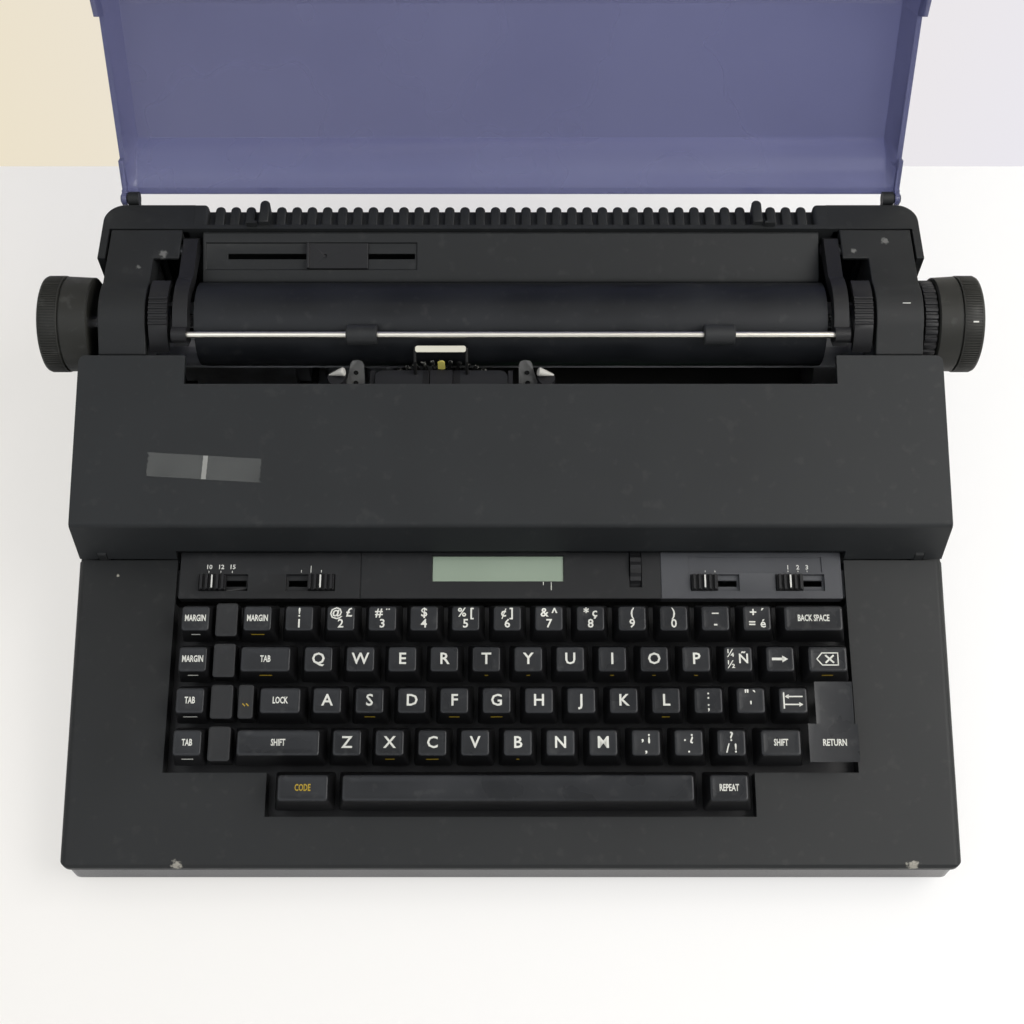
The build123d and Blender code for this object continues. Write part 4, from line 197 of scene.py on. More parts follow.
def surfaced(name, group, values, shading):
    finish, tree, shader = new_finish(name, shading)
    surface = wired(tree, "Group", values, node_tree=group)
    for output, socket in (("Colour", "Base Color"), ("Roughness", "Roughness"), ("Normal", "Normal")):
        tree.links.new(surface[output], shader.inputs[socket])
    return finish


def moulding(name, colour, rough, depth=0.35, blotch=0.10, scuff=0.05, scale=2600, coat=0.0, gloss=0.28):
    return surfaced(name, grain, {
        "Colour": (*colour, 1), "Grain": scale, "Depth": depth, "Blotch": blotch, "Rough": rough, "Scuff": scuff,
    }, {"Specular IOR Level": gloss, "Coat Weight": coat, "Coat Roughness": 0.25})


def dress(finish, *names):
    for name in names:
        for slot in nodes[name].material_slots:
            slot.material = finish


def soft_edged(node, finish, body, width, angle=35, shaped=None):
    shape = bmesh.new()
    shape.from_mesh(nodes[node].data)
    bmesh.ops.remove_doubles(shape, verts=shape.verts, dist=0.00001)
    if shaped is not None:
        shaped(shape)
    bmesh.ops.dissolve_limit(shape, angle_limit=radians(0.5), verts=shape.verts, edges=shape.edges)
    piece = placed(node + "_moulding", shape, [finish])
    mesh = piece.data
    mesh.polygons.foreach_set("use_smooth", [True] * len(mesh.polygons))
    mesh.polygons.foreach_set("material_index", [0] * len(mesh.polygons))
    mesh.set_sharp_from_angle(angle=radians(angle))
    edge = piece.modifiers.new("edge", "BEVEL")
    edge.limit_method = "ANGLE"
    edge.angle_limit = radians(angle)
    edge.width = width
    edge.segments = 2
    edge.use_clamp_overlap = True
    edge.harden_normals = True
    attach(piece, body)
    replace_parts(piece, node)
    return piece


case_front = -0.2068526
side_wall_x = 0.190
narrowing = 0.0185
narrow_from = case_front + 0.139
lip_depth = 0.0016
lip_shift = 0.0009


def narrowed(shape):
    for v in shape.verts:
        reach = min(1.0, (narrow_from - v.co.y) / (narrow_from - case_front))
        if abs(v.co.x) > side_wall_x and reach > 0:
            v.co.x *= 1 - narrowing * reach


def flush_front(shape):
    narrowed(shape)
    lip = [v for v in shape.verts if v.co.y < case_front + lip_depth]
    bmesh.ops.translate(shape, verts=lip, vec=(0, -lip_shift, 0))


tray_finish = moulding("tray_moulding", (0.030, 0.030, 0.029), 0.24, depth=0.08, scuff=0.03, gloss=0.6)
soft_edged("base_tray", tray_finish, "chassis", 0.0005, shaped=flush_front)
dress(moulding("foot_rubber", (0.02, 0.02, 0.02), 0.75, scale=900), "feet")


# The screws that hold the case are plated steel, and so is most of the mechanism: drawn or rolled metal with fine
# lines along its length and a dull grey film here and there.
def metal_group():
    tree, given, result = new_group("drawn_metal", {
        "Colour": "Color", "Rough": "Float", "Film": "Float", "Lines": "Float"}, surface_outputs)
    place = object_place(tree)
    stretch = wired(tree, "Mapping", {"Vector": place, "Scale": (40, 2400, 2400)})["Vector"]
    lines = wired(tree, "TexNoise", {"Vector": stretch, "Scale": 1.0})["Fac"]
    film = wired(tree, "TexNoise", {"Vector": place, "Scale": 60, "Detail": 5})["Fac"]
    patch = wired(tree, "MapRange", {"From Min": 0.42, "From Max": 0.68, "Value": film})["Result"]
    cover = calculated(tree, "MULTIPLY", patch, given["Film"])
    streak = calculated(tree, "MULTIPLY_ADD", lines, given["Lines"], given["Rough"])
    bump = wired(tree, "Bump", {"Strength": 0.15, "Distance": 0.00004, "Height": lines})["Normal"]
    tree.links.new(mixed(tree, cover, given["Colour"], (0.20, 0.19, 0.17, 1)), result["Colour"])
    tree.links.new(calculated(tree, "MULTIPLY_ADD", cover, 0.25, streak), result["Roughness"])
    tree.links.new(bump, result["Normal"])
    return tree


drawn = metal_group()


def metal(name, colour, rough, film=0.25, lines=0.15):
    values = {"Colour": (*colour, 1), "Rough": rough, "Film": film, "Lines": lines}
    return surfaced(name, drawn, values, {"Metallic": 1.0})


plated_steel = metal("plated_steel", (0.52, 0.52, 0.53), 0.26)
dress(plated_steel, "case_screws", "motors", "feed_pinion", "print_hammer")
dress(metal("zinc_sheet", (0.44, 0.45, 0.47), 0.34, film=0.45), "side_frames", "paper_pan", "power_supply")
dress(metal("ground_rod", (0.60, 0.60, 0.61), 0.12, film=0.10), "guide_rails", "platen_shaft")


# The circuit boards are green coated laminate with paler tracks under the coating, screwed to posts of the tray
# and under the keys.
def recoloured(finish, colour):
    surface = finish.node_tree.nodes["Principled BSDF"].inputs["Base Color"].links[0].from_node
    finish.node_tree.links.new(colour, surface.inputs["Colour"])
    return finish


board = moulding("coated_board", (0.020, 0.085, 0.040), 0.32, depth=0.05, blotch=0.15, scuff=0.0, coat=0.6)
tracks = wired(board.node_tree, "TexBrick", {
    "Vector": object_place(board.node_tree), "Scale": 90, "Mortar Size": 0.05, "Mortar": (0.060, 0.200, 0.090, 1),
    "Color1": (0.018, 0.080, 0.038, 1), "Color2": (0.022, 0.095, 0.045, 1)})["Color"]
dress(recoloured(board, tracks), "circuit_boards")


# The moving parts of the drive are small mouldings: pale acetal gears and pulleys, a black rubber belt, and ground
# rubber on the feed rollers and the bail rollers.
gear_plastic = moulding("acetal", (0.58, 0.57, 0.50), 0.38, depth=0.1, blotch=0.06, scuff=0.0)
belt_rubber = moulding("belt_rubber", (0.018, 0.018, 0.018), 0.62, depth=0.5, scale=1500)
soft_rubber = moulding("roller_rubber", (0.020, 0.021, 0.022), 0.50, depth=0.2, blotch=0.15, scale=3200)
black_plastic = moulding("black_moulding", (0.013, 0.013, 0.014), 0.42, depth=0.2, blotch=0.08, scuff=0.0)
dress(gear_plastic, "platen_gear", "idler_gear", "drive_pulley", "idler_pulley")
dress(belt_rubber, "drive_belt")
dress(soft_rubber, "feed_rollers")
dress(black_plastic, "keyboard_plate", "power_inlet")


# The rear case and the keyboard surround are two large grained mouldings. Handling has left pale rubs on the corners
# of the front edge and specks of dust on the flat faces.
def smear_group():
    tree, given, result = new_group("pale_smear", {
        "Colour": "Color", "Mark": "Color", "Place": "Vector", "Reach": "Float", "Grit": "Float", "Strength": "Float",
    }, {"Colour": "Color"})
    place = object_place(tree)
    away = wired(tree, "VectorMath", {0: place, 1: given["Place"]}, operation="DISTANCE")["Value"]
    near = wired(tree, "MapRange", {
        "From Min": 0.0, "From Max": given["Reach"], "To Min": 1.0, "To Max": 0.0, "Value": away})["Result"]
    grit = wired(tree, "TexNoise", {"Vector": place, "Scale": given["Grit"], "Detail": 3})["Fac"]
    mask = wired(tree, "MapRange", {
        "From Min": 1.0, "From Max": 1.25, "Value": calculated(tree, "ADD", near, grit)})["Result"]
    amount = calculated(tree, "MULTIPLY", mask, given["Strength"])
    tree.links.new(mixed(tree, amount, given["Colour"], given["Mark"]), result["Colour"])
    return tree


smear = smear_group()
dust_grit = 700


def rubbed(finish, marks, colour=(0.42, 0.40, 0.34), strength=0.7):
    tree = finish.node_tree
    target = tree.nodes["Principled BSDF"].inputs["Base Color"]
    for place, reach in marks:
        spot = wired(tree, "Group", {
            "Colour": target.links[0].from_socket, "Mark": (*colour, 1), "Place": place, "Reach": reach,
            "Grit": dust_grit, "Strength": strength}, node_tree=smear)
        tree.links.new(spot["Colour"], target)
    return finish


deck_finish = rubbed(
    moulding("deck_moulding", (0.0165, 0.0175, 0.0180), 0.52),
    [((-0.1478, -0.2066, 0.0262), 0.006), ((0.1780, -0.2066, 0.0262), 0.006), ((-0.1847, -0.0749, 0.0503), 0.0018)])
soft_edged("keyboard_deck", deck_finish, "chassis", 0.0006, shaped=narrowed)
rear_finish = moulding("rear_moulding", (0.014, 0.015, 0.0155), 0.54)
rib_field = 0.1552
rib_wall = 0.0879
rib_floor = 0.0301
hair = 0.00001


def without_fins(shape):
    for spot, way in (((0, rib_wall, 0), (0, 1, 0)), ((0, 0, rib_floor), (0, 0, 1))):
        whole = shape.verts[:] + shape.edges[:] + shape.faces[:]
        bmesh.ops.bisect_plane(shape, geom=whole, plane_co=spot, plane_no=way)
    fins = []
    for f in shape.faces:
        middle = f.calc_center_median()
        if abs(middle.x) < rib_field and middle.y > rib_wall + hair and middle.z > rib_floor + hair:
            fins.append(f)
    bmesh.ops.delete(shape, geom=fins, context="FACES")


soft_edged("rear_case", rear_finish, "chassis", 0.0005, shaped=without_fins)


# Between the corner blocks the back of the case is one ribbed panel. Its ribs are round-nosed and stand over the web
# between them, the fourth from each end higher than the rest.
def box(size):
    shape = bmesh.new()
    bmesh.ops.create_cube(shape, size=1.0)
    bmesh.ops.scale(shape, verts=shape.verts, vec=size)
    return shape


def edges_where(shape, test):
    return [e for e in shape.edges if all(test(v.co) for v in e.verts)]


def uprights(shape, least):
    return [e for e in shape.edges if abs(e.verts[0].co.z - e.verts[1].co.z) > least]


def rounded(shape, edges, width, segments):
    bmesh.ops.bevel(shape, geom=edges, offset=width, affect="EDGES", segments=segments, profile=0.5, material=-1)


def add_shape(total, one, place=(0, 0, 0)):
    bmesh.ops.translate(one, verts=one.verts, vec=place)
    mesh = bpy.data.meshes.new("part")
    one.to_mesh(mesh)
    one.free()
    total.from_mesh(mesh)
    bpy.data.meshes.remove(mesh)


def stand(name, shape, body, finishes, place=None, sharp=40):
    piece = placed(name, shape, finishes)
    if place is not None:
        piece.data.transform(place)
    piece.data.set_sharp_from_angle(angle=radians(sharp))
    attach(piece, body)
    return piece


rib_count = 39
rib_pitch = 0.00754
rib_width = 0.0048
rib_depth = 0.0133
rib_tip = 0.1010
rib_foot = 0.030
rib_top = 0.1060
tall_rib_top = 0.1108
tall_ribs = (3, rib_count - 4)
overlap = 0.0004
block_width = rib_field - 0.1485 + overlap
ribs = bmesh.new()
add_shape(ribs, box((2 * rib_field - overlap, 0.0118, 0.0755)), (0, rib_wall + 0.0058, 0.06565))
for side in (-1, 1):
    block = box((block_width, 0.0122, 0.0790))
    rounded(block, edges_where(block, lambda co: co.x * side < 0), 0.0022, 4)
    add_shape(ribs, block, (side * (rib_field - block_width / 2 + overlap), 0.0940, 0.0684))
for i in range(rib_count):
    top = tall_rib_top if i in tall_ribs else rib_top
    rib = box((rib_width, rib_depth, top - rib_foot))
    rounded(rib, [e for e in uprights(rib, 0.01) if e.verts[0].co.y > 0], 0.0023, 4)
    rounded(rib, edges_where(rib, lambda co: co.z > 0), 0.0007, 2)
    for f in rib.faces:
        f.smooth = True
    add_shape(ribs, rib, ((i - (rib_count - 1) / 2) * rib_pitch, rib_tip - rib_depth / 2, (top + rib_foot) / 2))
stand("rear_ribs", ribs, "chassis", [rear_finish])


# The hinged access cover is one broad moulding over the mechanism. A torn strip of clear tape is stuck on it at the
# left, cloudy, with a paler fold across it.
cover_finish = moulding("cover_moulding", (0.0155, 0.0170, 0.0180), 0.52)
soft_edged("access_cover", cover_finish, "access_cover", 0.0006)
tape_place = (
    Matrix.Translation((-0.1418, case_front + 0.1702, 0.08513)) @ Matrix.Rotation(radians(17.1), 4, "X")
    @ Matrix.Rotation(radians(-3.4), 4, "Z"))
for name, material, colour, alpha, middle, length, width, lift, rag in (
        ("tape_strip", "tape_film", (0.14, 0.145, 0.14), 0.45, 0, 0.0525, 0.0113, 0.00020, 0.0005),
        ("tape_fold_line", "tape_fold", (0.34, 0.34, 0.32), 0.75, 0.0003, 0.0022, 0.0112, 0.00026, 0.0001)):
    film = moulding(material, colour, 0.30, depth=0.6, blotch=0.35, scuff=0.0, scale=400)
    film.node_tree.nodes["Principled BSDF"].inputs["Alpha"].default_value = alpha
    strip = bmesh.new()
    bmesh.ops.create_grid(strip, x_segments=12, y_segments=14, size=0.5)
    bmesh.ops.scale(strip, verts=strip.verts, vec=(length, width, 1))
    for side in (-1, 1):
        for v in [v for v in strip.verts if v.co.x * side > length * 0.49]:
            v.co.x += rag * (sin(v.co.y * 2300 + side) + 0.6 * sin(v.co.y * 5100))
    bmesh.ops.translate(strip, verts=strip.verts, vec=(middle, 0, lift))
    stand(name, strip, "access_cover", [film], tape_place)


# The end covers over the platen's bearings, and the paper table behind it with its sliding side stop, are of the
# same moulding as the case, rubbed pale where paper and hands pass.
end_finish = rubbed(
    moulding("end_moulding", (0.0145, 0.0155, 0.016), 0.53),
    [((-0.168, 0.070, 0.1077), 0.0045), ((-0.179, 0.062, 0.1077), 0.0030), ((0.182, 0.078, 0.1077), 0.004),
     ((0.166, 0.072, 0.1077), 0.003)],
    colour=(0.20, 0.20, 0.19), strength=0.6)
soft_edged("end_covers", end_finish, "chassis", 0.0006)
table_finish = moulding("table_moulding", (0.0125, 0.0135, 0.014), 0.50)
soft_edged("paper_table", table_finish, "chassis", 0.0004)
stop_finish = moulding("stop_moulding", (0.010, 0.010, 0.011), 0.40, depth=0.15, scuff=0.0)
soft_edged("paper_guide", stop_finish, "paper_guide", 0.0003)


# The control panel is a smoother moulding let in behind the keys. Its right part, beyond a groove, holds a sunk label
# place and is painted paler, a painted reflection of light from the right. Plain numbers and marks are printed on it in
# white.
def tinted(tree, value, edge, under, beyond):
    return mixed(tree, calculated(tree, "GREATER_THAN", value, edge), under, beyond)


deck = Matrix.Translation((0, case_front, 0.0258)) @ Matrix.Rotation(radians(10.5), 4, "X")
panel_dark = (0.013, 0.0135, 0.0145)
panel_finish = moulding("panel_moulding", panel_dark, 0.44, depth=0.25, blotch=0.12)
panel_tree = panel_finish.node_tree
panel_axes = wired(panel_tree, "SeparateXYZ", {0: object_place(panel_tree)})
# Painted reflection: the part right of the groove is painted paler, as if lit from the right.
panel_painted_sheen = tinted(panel_tree, panel_axes["X"], 0.0705, (*panel_dark, 1), (0.058, 0.060, 0.066, 1))
soft_edged("control_panel", recoloured(panel_finish, panel_painted_sheen), "chassis", 0.0003)


def ink(name, colour, rough=0.5):
    return moulding(name, colour, rough, depth=0.05, blotch=0.12, scuff=0.0)


def dash(total, x, v, width, height, w):
    one = bmesh.new()
    bmesh.ops.create_grid(one, x_segments=1, y_segments=1, size=0.5)
    bmesh.ops.scale(one, verts=one.verts, vec=(width, height, 1))
    add_shape(total, one, (x, v, w))


def word(text, x, v, size, w, squeeze=1.0, spacing=1.0, bold=0.0001):
    curve = bpy.data.curves.new("word", "FONT")
    curve.body = text
    curve.size = size
    curve.align_x = "CENTER"
    curve.align_y = "CENTER"
    curve.offset = bold
    curve.space_character = spacing
    curve.resolution_u = 2
    holder = bpy.data.objects.new("word", curve)
    bpy.context.scene.collection.objects.link(holder)
    mesh = bpy.data.meshes.new_from_object(holder.evaluated_get(bpy.context.evaluated_depsgraph_get()))
    bpy.data.objects.remove(holder)
    mesh.transform(Matrix.Translation((x, v, w)) @ Matrix.Diagonal((squeeze, 1, 1, 1)))
    return mesh


def print_words(total, words):
    for mesh in words:
        total.from_mesh(mesh)
        bpy.data.meshes.remove(mesh)
    for face in total.faces:
        face.normal_update()
        if face.normal.z < 0:
            face.normal_flip()


white_print = ink("white_print", (0.66, 0.66, 0.62))
print_lift = 0.00004
sunk_lift = -0.00056
thin_bold = 0.00006
thin_line = 0.0003
panel_print = bmesh.new()
print_words(panel_print, [
    word(text, x, 0.1382, 0.0030, w, bold=thin_bold)
    for text, x, w in (
        ("10", -0.1420, print_lift), ("12", -0.1364, print_lift), ("15", -0.1310, print_lift),
        ("1", 0.1306, sunk_lift), ("2", 0.1353, sunk_lift), ("3", 0.1396, sunk_lift))])
for places, v, height, w in (
        ((-0.1420, -0.1364, -0.1310), 0.1359, 0.0010, print_lift), ((-0.0985, -0.0891), 0.1362, 0.0012, print_lift),
        ((-0.0940,), 0.1372, 0.0034, print_lift), ((0.0153,), 0.1302, 0.0016, print_lift),
        ((0.0190,), 0.1290, 0.0040, print_lift), ((-0.0055, 0.0021, 0.0096, 0.0167), 0.1475, 0.0012, print_lift),
        ((0.0916, 0.0962, 0.1306, 0.1353, 0.1396), 0.1362, 0.0010, sunk_lift)):
    for x in places:
        dash(panel_print, x, v, thin_line, height, w)
for x in (-0.0118, 0.0278):
    dash(panel_print, x, 0.1480, 0.0124, thin_line, print_lift)
stand("panel_numbers", panel_print, "chassis", [white_print], deck)


# The display behind its window is a reflective liquid crystal cell, grey-green and blank while the machine is off.
# The thumbwheel beside it sets how hard the hammer strikes.
display_cell = moulding("display_cell", (0.25, 0.31, 0.24), 0.22, depth=0.0, blotch=0.05, scuff=0.0, coat=0.8)
dress(display_cell, "display_module")
dress(black_plastic, "thumbwheel")


# The slide switches have ribbed knobs of the same black moulding, which run in slots of the panel, each with a white
# line printed on its middle rib.
for name, x in (("pitch", -0.1399), ("mode", -0.0891), ("keyboard", 0.0910), ("spacing", 0.1310)):
    dress(black_plastic, name + "_switch")
    line = bmesh.new()
    dash(line, x, 0.13069, 0.0007, 0.0062, 0.00284)
    stand(name + "_switch_mark", line, name + "_switch", [white_print], deck)


# The keys are hollow moulded caps of one dark plastic, their tops dished and polished by use. The tops are painted
# lighter as lit from above, and the skirts are painted near black as shaded. Letters, figures and the plain words of
# any keyboard are printed on them in off-white; the marks on the skirts are dull yellow dashes.
key_pitch = 0.01905
rows = {"space": 0.0332, "bottom": 0.0532, "home": 0.07225, "upper": 0.0913, "number": 0.11035}
first_keys = {"number": -0.0968, "upper": -0.08725, "home": -0.0825, "bottom": -0.0730}
margin_x = -0.1443
cap_width = 0.0124
cap_depth = 0.0112
cap_top = 0.012
cap_skirt = 0.0018
flare_x = 0.0024
flare_v = 0.0030
# Painted light: the key top finish is painted lighter as the lit tops and the skirt finish darker as the shaded skirts,
# two tones of one plastic.
key_top = moulding("key_top", (0.015, 0.016, 0.018), 0.32, depth=0.10, blotch=0.30, scuff=0.10, scale=1800, coat=0.12)
shaded_key_skirt = moulding("key_skirt_painted_shade", (0.006, 0.006, 0.0065), 0.40, depth=0.2, blotch=0.1, scuff=0.0)
key_print = ink("key_print", (0.62, 0.62, 0.57))
key_print_yellow = ink("key_print_yellow", (0.36, 0.25, 0.02))


def finish_cap(one, width, depth, height):
    one.normal_update()
    rounded(one, edges_where(one, lambda co: co.z > height - hair), 0.0005, 2)
    one.normal_update()
    face = max(one.faces, key=lambda f: (round(f.calc_center_median().z, 6), f.calc_area()))
    for step, drop in ((0.0008, 0.00010), (0.0018, 0.00012)):
        face = bmesh.ops.extrude_discrete_faces(one, faces=[face])["faces"][0]
        middle = Matrix.Translation(-face.calc_center_median())
        smaller = ((width - 2 * step) / width, (depth - 2 * step) / depth, 1)
        bmesh.ops.scale(one, verts=face.verts, vec=smaller, space=middle)
        bmesh.ops.translate(one, verts=face.verts, vec=(0, 0, -drop))
    for f in one.faces:
        f.smooth = True
        f.material_index = 0 if f.calc_center_median().z > height - 0.0009 else 1


def key_cap(x, v, width, depth, flares, height):
    base = (width + 2 * flares[0], depth + 2 * flares[1])
    one = box((*base, height - cap_skirt))
    upper = [c for c in one.verts if c.co.z > 0]
    bmesh.ops.scale(one, verts=upper, vec=(width / base[0], depth / base[1], 1))
    bmesh.ops.translate(one, verts=one.verts, vec=(x, v, (height + cap_skirt) / 2))
    one.normal_update()
    rounded(one, uprights(one, 0.001), 0.0013, 3)
    finish_cap(one, width, depth, height)
    floor = min(one.faces, key=lambda f: f.calc_center_median().z)
    bmesh.ops.delete(one, geom=[floor], context="FACES")
    return one


def line_of_keys(row, legends):
    return [(row, first_keys[row] + i * key_pitch, cap_width, legend) for i, legend in enumerate(legends)]


key_groups = {
    "number_keys": line_of_keys("number", [
        ("!", "1"), ("@£", "2"), ("#¨", "3"), ("$", "4"), ("%[", "5"), ("¢]", "6"), ("&^", "7"), ("*ç", "8"),
        ("(", "9"), (")", "0"), ("–", "-"), ("+´", "=é")]),
    "upper_letter_keys": line_of_keys("upper", [*"QWERTYUIOP", ("¼½", "Ñ")]),
    "home_letter_keys": line_of_keys("home", [*"ASDFGHJKL", (":", ";"), ("\"`", "'")]),
    "lower_letter_keys": line_of_keys("bottom", [*"ZXCVBNM", (",¡", ","), (".¿", "."), ("?", "/!")]),
    "margin_keys": [
        ("number", margin_x, cap_width, ["MARGIN"]), ("upper", margin_x, cap_width, ["MARGIN"]),
        ("home", margin_x, cap_width, ["TAB"]), ("bottom", margin_x, cap_width, ["TAB"]),
        ("number", -0.1159, cap_width, ["MARGIN"])],
    "correction_keys": [
        ("upper", 0.1223, cap_width, "forward"), ("upper", 0.1439, 0.0172, "erase"),
        ("home", 0.1271, cap_width, "stops"), ("number", 0.1386, 0.0264, ["BACK SPACE"])],
    "tab_lock_keys": [("upper", -0.1113, 0.0221, ["TAB"]), ("home", -0.1037, 0.0178, ["LOCK"])],
    "shift_keys": [("bottom", -0.1037, 0.0366, ["SHIFT"]), ("bottom", 0.1205, 0.0175, ["SHIFT"])],
    "code_repeat_keys": [("space", -0.0919, 0.0220, ["CODE"]), ("space", 0.0965, 0.0166, ["REPEAT"])],
    "space_bar": [("space", 0.0033, 0.1552, [])],
}
skirt_dashes = [
    ("number", margin_x, 0.0040), ("upper", margin_x, 0.0048), ("home", margin_x, 0.0064),
    ("bottom", margin_x, 0.0052), ("number", -0.1159, 0.0060), ("upper", -0.1113, 0.0058), ("upper", 0.1439, 0.0052)]
for row, dashes in (
        ("upper", {4: 0.0016, 5: 0.0016, 7: 0.0016, 8: 0.0016, 9: 0.0016}),
        ("home", {1: 0.0048, 3: 0.0046, 4: 0.0052, 8: 0.0036}), ("bottom", {1: 0.0042, 2: 0.0056, 4: 0.0014})):
    skirt_dashes += [(row, first_keys[row] + i * key_pitch, length) for i, length in dashes.items()]


def stroke(total, start, end, half):
    a = Vector((*start, 0))
    b = Vector((*end, 0))
    one = bmesh.new()
    bmesh.ops.create_grid(one, x_segments=1, y_segments=1, size=0.5)
    bmesh.ops.scale(one, verts=one.verts, vec=((b - a).length + 2 * half, 2 * half, 1))
    bmesh.ops.rotate(one, verts=one.verts, matrix=(b - a).to_track_quat("X", "Z").to_matrix())
    add_shape(total, one, (a + b) / 2)


def arrow_head(total, tip, size, turn):
    one = bmesh.new()
    bmesh.ops.create_circle(one, cap_ends=True, segments=3, radius=size)
    bmesh.ops.rotate(one, verts=one.verts, matrix=Matrix.Rotation(turn, 3, "Z"))
    add_shape(total, one, (*tip, 0))


def mesh_at(shape, place):
    mesh = bpy.data.meshes.new("mark")
    shape.to_mesh(mesh)
    shape.free()
    mesh.transform(place)
    return mesh


def key_sign(kind, x, v, w):
    shape = bmesh.new()
    if kind == "forward":
        stroke(shape, (-0.0032, 0), (0.0010, 0), 0.0006)
        arrow_head(shape, (0.0018, 0), 0.0018, -pi / 2)
    elif kind == "stops":
        stroke(shape, (-0.0042, -0.0034), (-0.0042, 0.0034), 0.0003)
        stroke(shape, (-0.0026, 0.0018), (0.0040, 0.0018), 0.0003)
        stroke(shape, (-0.0038, -0.0018), (0.0028, -0.0018), 0.0003)
        arrow_head(shape, (-0.0026, 0.0018), 0.0012, pi / 2)
        arrow_head(shape, (0.0032, -0.0018), 0.0012, -pi / 2)
    else:
        ring = [(-0.0050, 0), (-0.0026, 0.0028), (0.0046, 0.0028), (0.0046, -0.0028), (-0.0026, -0.0028)]
        for start, end in zip(ring, ring[1:] + ring[:1]):
            stroke(shape, start, end, 0.00025)
        stroke(shape, (-0.0008, 0.0015), (0.0024, -0.0015), 0.0004)
        stroke(shape, (-0.0008, -0.0015), (0.0024, 0.0015), 0.0004)
    return mesh_at(shape, Matrix.Translation((x, v, w)))


def legend_meshes(x, v, legend):
    high = cap_top + 0.00002
    if legend in ("forward", "erase", "stops"):
        return [key_sign(legend, x, v, high)]
    if isinstance(legend, str):
        return [word(legend, x, v, 0.0074, high, bold=0.00012)]
    if isinstance(legend, list):
        return [word(part, x, v, 0.0042, high, squeeze=0.61) for part in legend]
    first, second = legend
    if second == "Ñ":
        return [
            word("¼", x - 0.0032, v + 0.0026, 0.0050, high, bold=thin_bold),
            word("½", x - 0.0032, v - 0.0026, 0.0050, high, bold=thin_bold), word("Ñ", x + 0.0024, v, 0.0062, high)]
    return [
        word(first, x, v + 0.0026, 0.0058, high, spacing=1.5 if len(first) > 1 else 1.0),
        word(second, x, v - 0.0026, 0.0056, high, spacing=1.7 if len(second) > 1 else 1.0)]


skirt_lean = Matrix.Rotation(pi / 2 - 0.286, 4, "X")
for group, keys in key_groups.items():
    caps = bmesh.new()
    white = []
    yellow = []
    for row, x, width, legend in keys:
        v = rows[row]
        flare = 0.0012 if x == margin_x else flare_x
        add_shape(caps, key_cap(x, v, width, cap_depth, (flare, flare_v), cap_top))
        (yellow if legend == ["CODE"] else white).extend(legend_meshes(x, v, legend))
        for dash_row, dash_x, length in skirt_dashes:
            if dash_row == row and abs(dash_x - x) < 0.001:
                one = bmesh.new()
                dash(one, 0, 0, length, 0.0007, 0)
                mark = mesh_at(one, Matrix.Translation((x, v - cap_depth / 2 - 0.0012, 0.0086)) @ skirt_lean)
                (white if x == margin_x else yellow).append(mark)
    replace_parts(stand(group + "_caps", caps, group, [key_top, shaded_key_skirt], deck), group)
    for name, meshes, finish in (("_legends", white, key_print), ("_second_legends", yellow, key_print_yellow)):
        if meshes:
            printed = bmesh.new()
            print_words(printed, meshes)
            stand(group + name, printed, group, [finish], deck)


# The return key is one L-shaped cap over two rows. The blank keys at the left are low plain caps, one of them narrow,
# with a small yellow mark.
return_cap = bmesh.new()
corners = (
    (0.13305, 0.0446), (0.15535, 0.0446), (0.15535, 0.0618), (0.1539, 0.0618),
    (0.1539, 0.08085), (0.1369, 0.08085), (0.1369, 0.0618), (0.13305, 0.0618))
outline = return_cap.faces.new([return_cap.verts.new((x, v, cap_skirt)) for x, v in corners])
return_cap.normal_update()
bmesh.ops.inset_region(
    return_cap, faces=[outline], thickness=0.0026, depth=cap_top - cap_skirt, use_even_offset=True)
return_cap.normal_update()
rounded(return_cap, uprights(return_cap, 0.001), 0.0007, 3)
finish_cap(return_cap, 0.0171, 0.0310, cap_top)
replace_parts(stand("return_key_cap", return_cap, "return_key", [key_top, shaded_key_skirt], deck), "return_key")
return_print = bmesh.new()
print_words(return_print, [word("RETURN", 0.1446, 0.0532, 0.0042, cap_top - 0.00018, squeeze=0.68)])
stand("return_key_legend", return_print, "return_key", [key_print], deck)
blank_top = moulding("blank_key_top", (0.019, 0.0195, 0.0205), 0.46, depth=0.3, blotch=0.12)
blank_caps = bmesh.new()
for x, row, width in [(-0.1305, row, 0.0100) for row in ("bottom", "home", "upper", "number")] + [
        (-0.1196, "home", 0.0069)]:
    add_shape(blank_caps, key_cap(x, rows[row], width, 0.0156, (0.0004, 0.0004), 0.0095))
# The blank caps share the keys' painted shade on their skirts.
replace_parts(stand("blank_key_caps", blank_caps, "blank_keys", [blank_top, shaded_key_skirt], deck), "blank_keys")
narrow_print = bmesh.new()
for x in (-0.1208, -0.1192):
    stroke(narrow_print, (x, 0.0712), (x + 0.0008, 0.0704), 0.00025)
bmesh.ops.translate(narrow_print, verts=narrow_print.verts, vec=(0, 0, 0.0094))
stand("narrow_key_mark", narrow_print, "blank_keys", [key_print_yellow], deck)


# The platen is a steel core with a ground black rubber cover, worn dull where the paper bail runs. The thumb levers
# on its shaft are black mouldings with ribbed rims, and so is the toothed clutch ring.
platen_axis = Vector((0, 0.0426474, 0.088))
platen_rubber = moulding("platen_rubber", (0.010, 0.011, 0.013), 0.42, depth=0.12, blotch=0.25, scuff=0.06, scale=3200)
dress(platen_rubber, "platen_roller")
for name in ("paper_release_lever", "line_spacing_lever", "clutch_ring"):
    soft_edged(name, black_plastic, name, 0.0002, 50)


# Each platen knob is one hard moulding: a smooth hub and a band of fine grip ridges round a dished end. The right
# one has a white line printed on its ridges.
knob_plastic = moulding("knob_moulding", (0.021, 0.021, 0.018), 0.48, depth=0.25, blotch=0.12, scuff=0.12)
knob_radius = 0.02325
knob_end = 0.224
knob_band = 0.010
grip_faces = 216


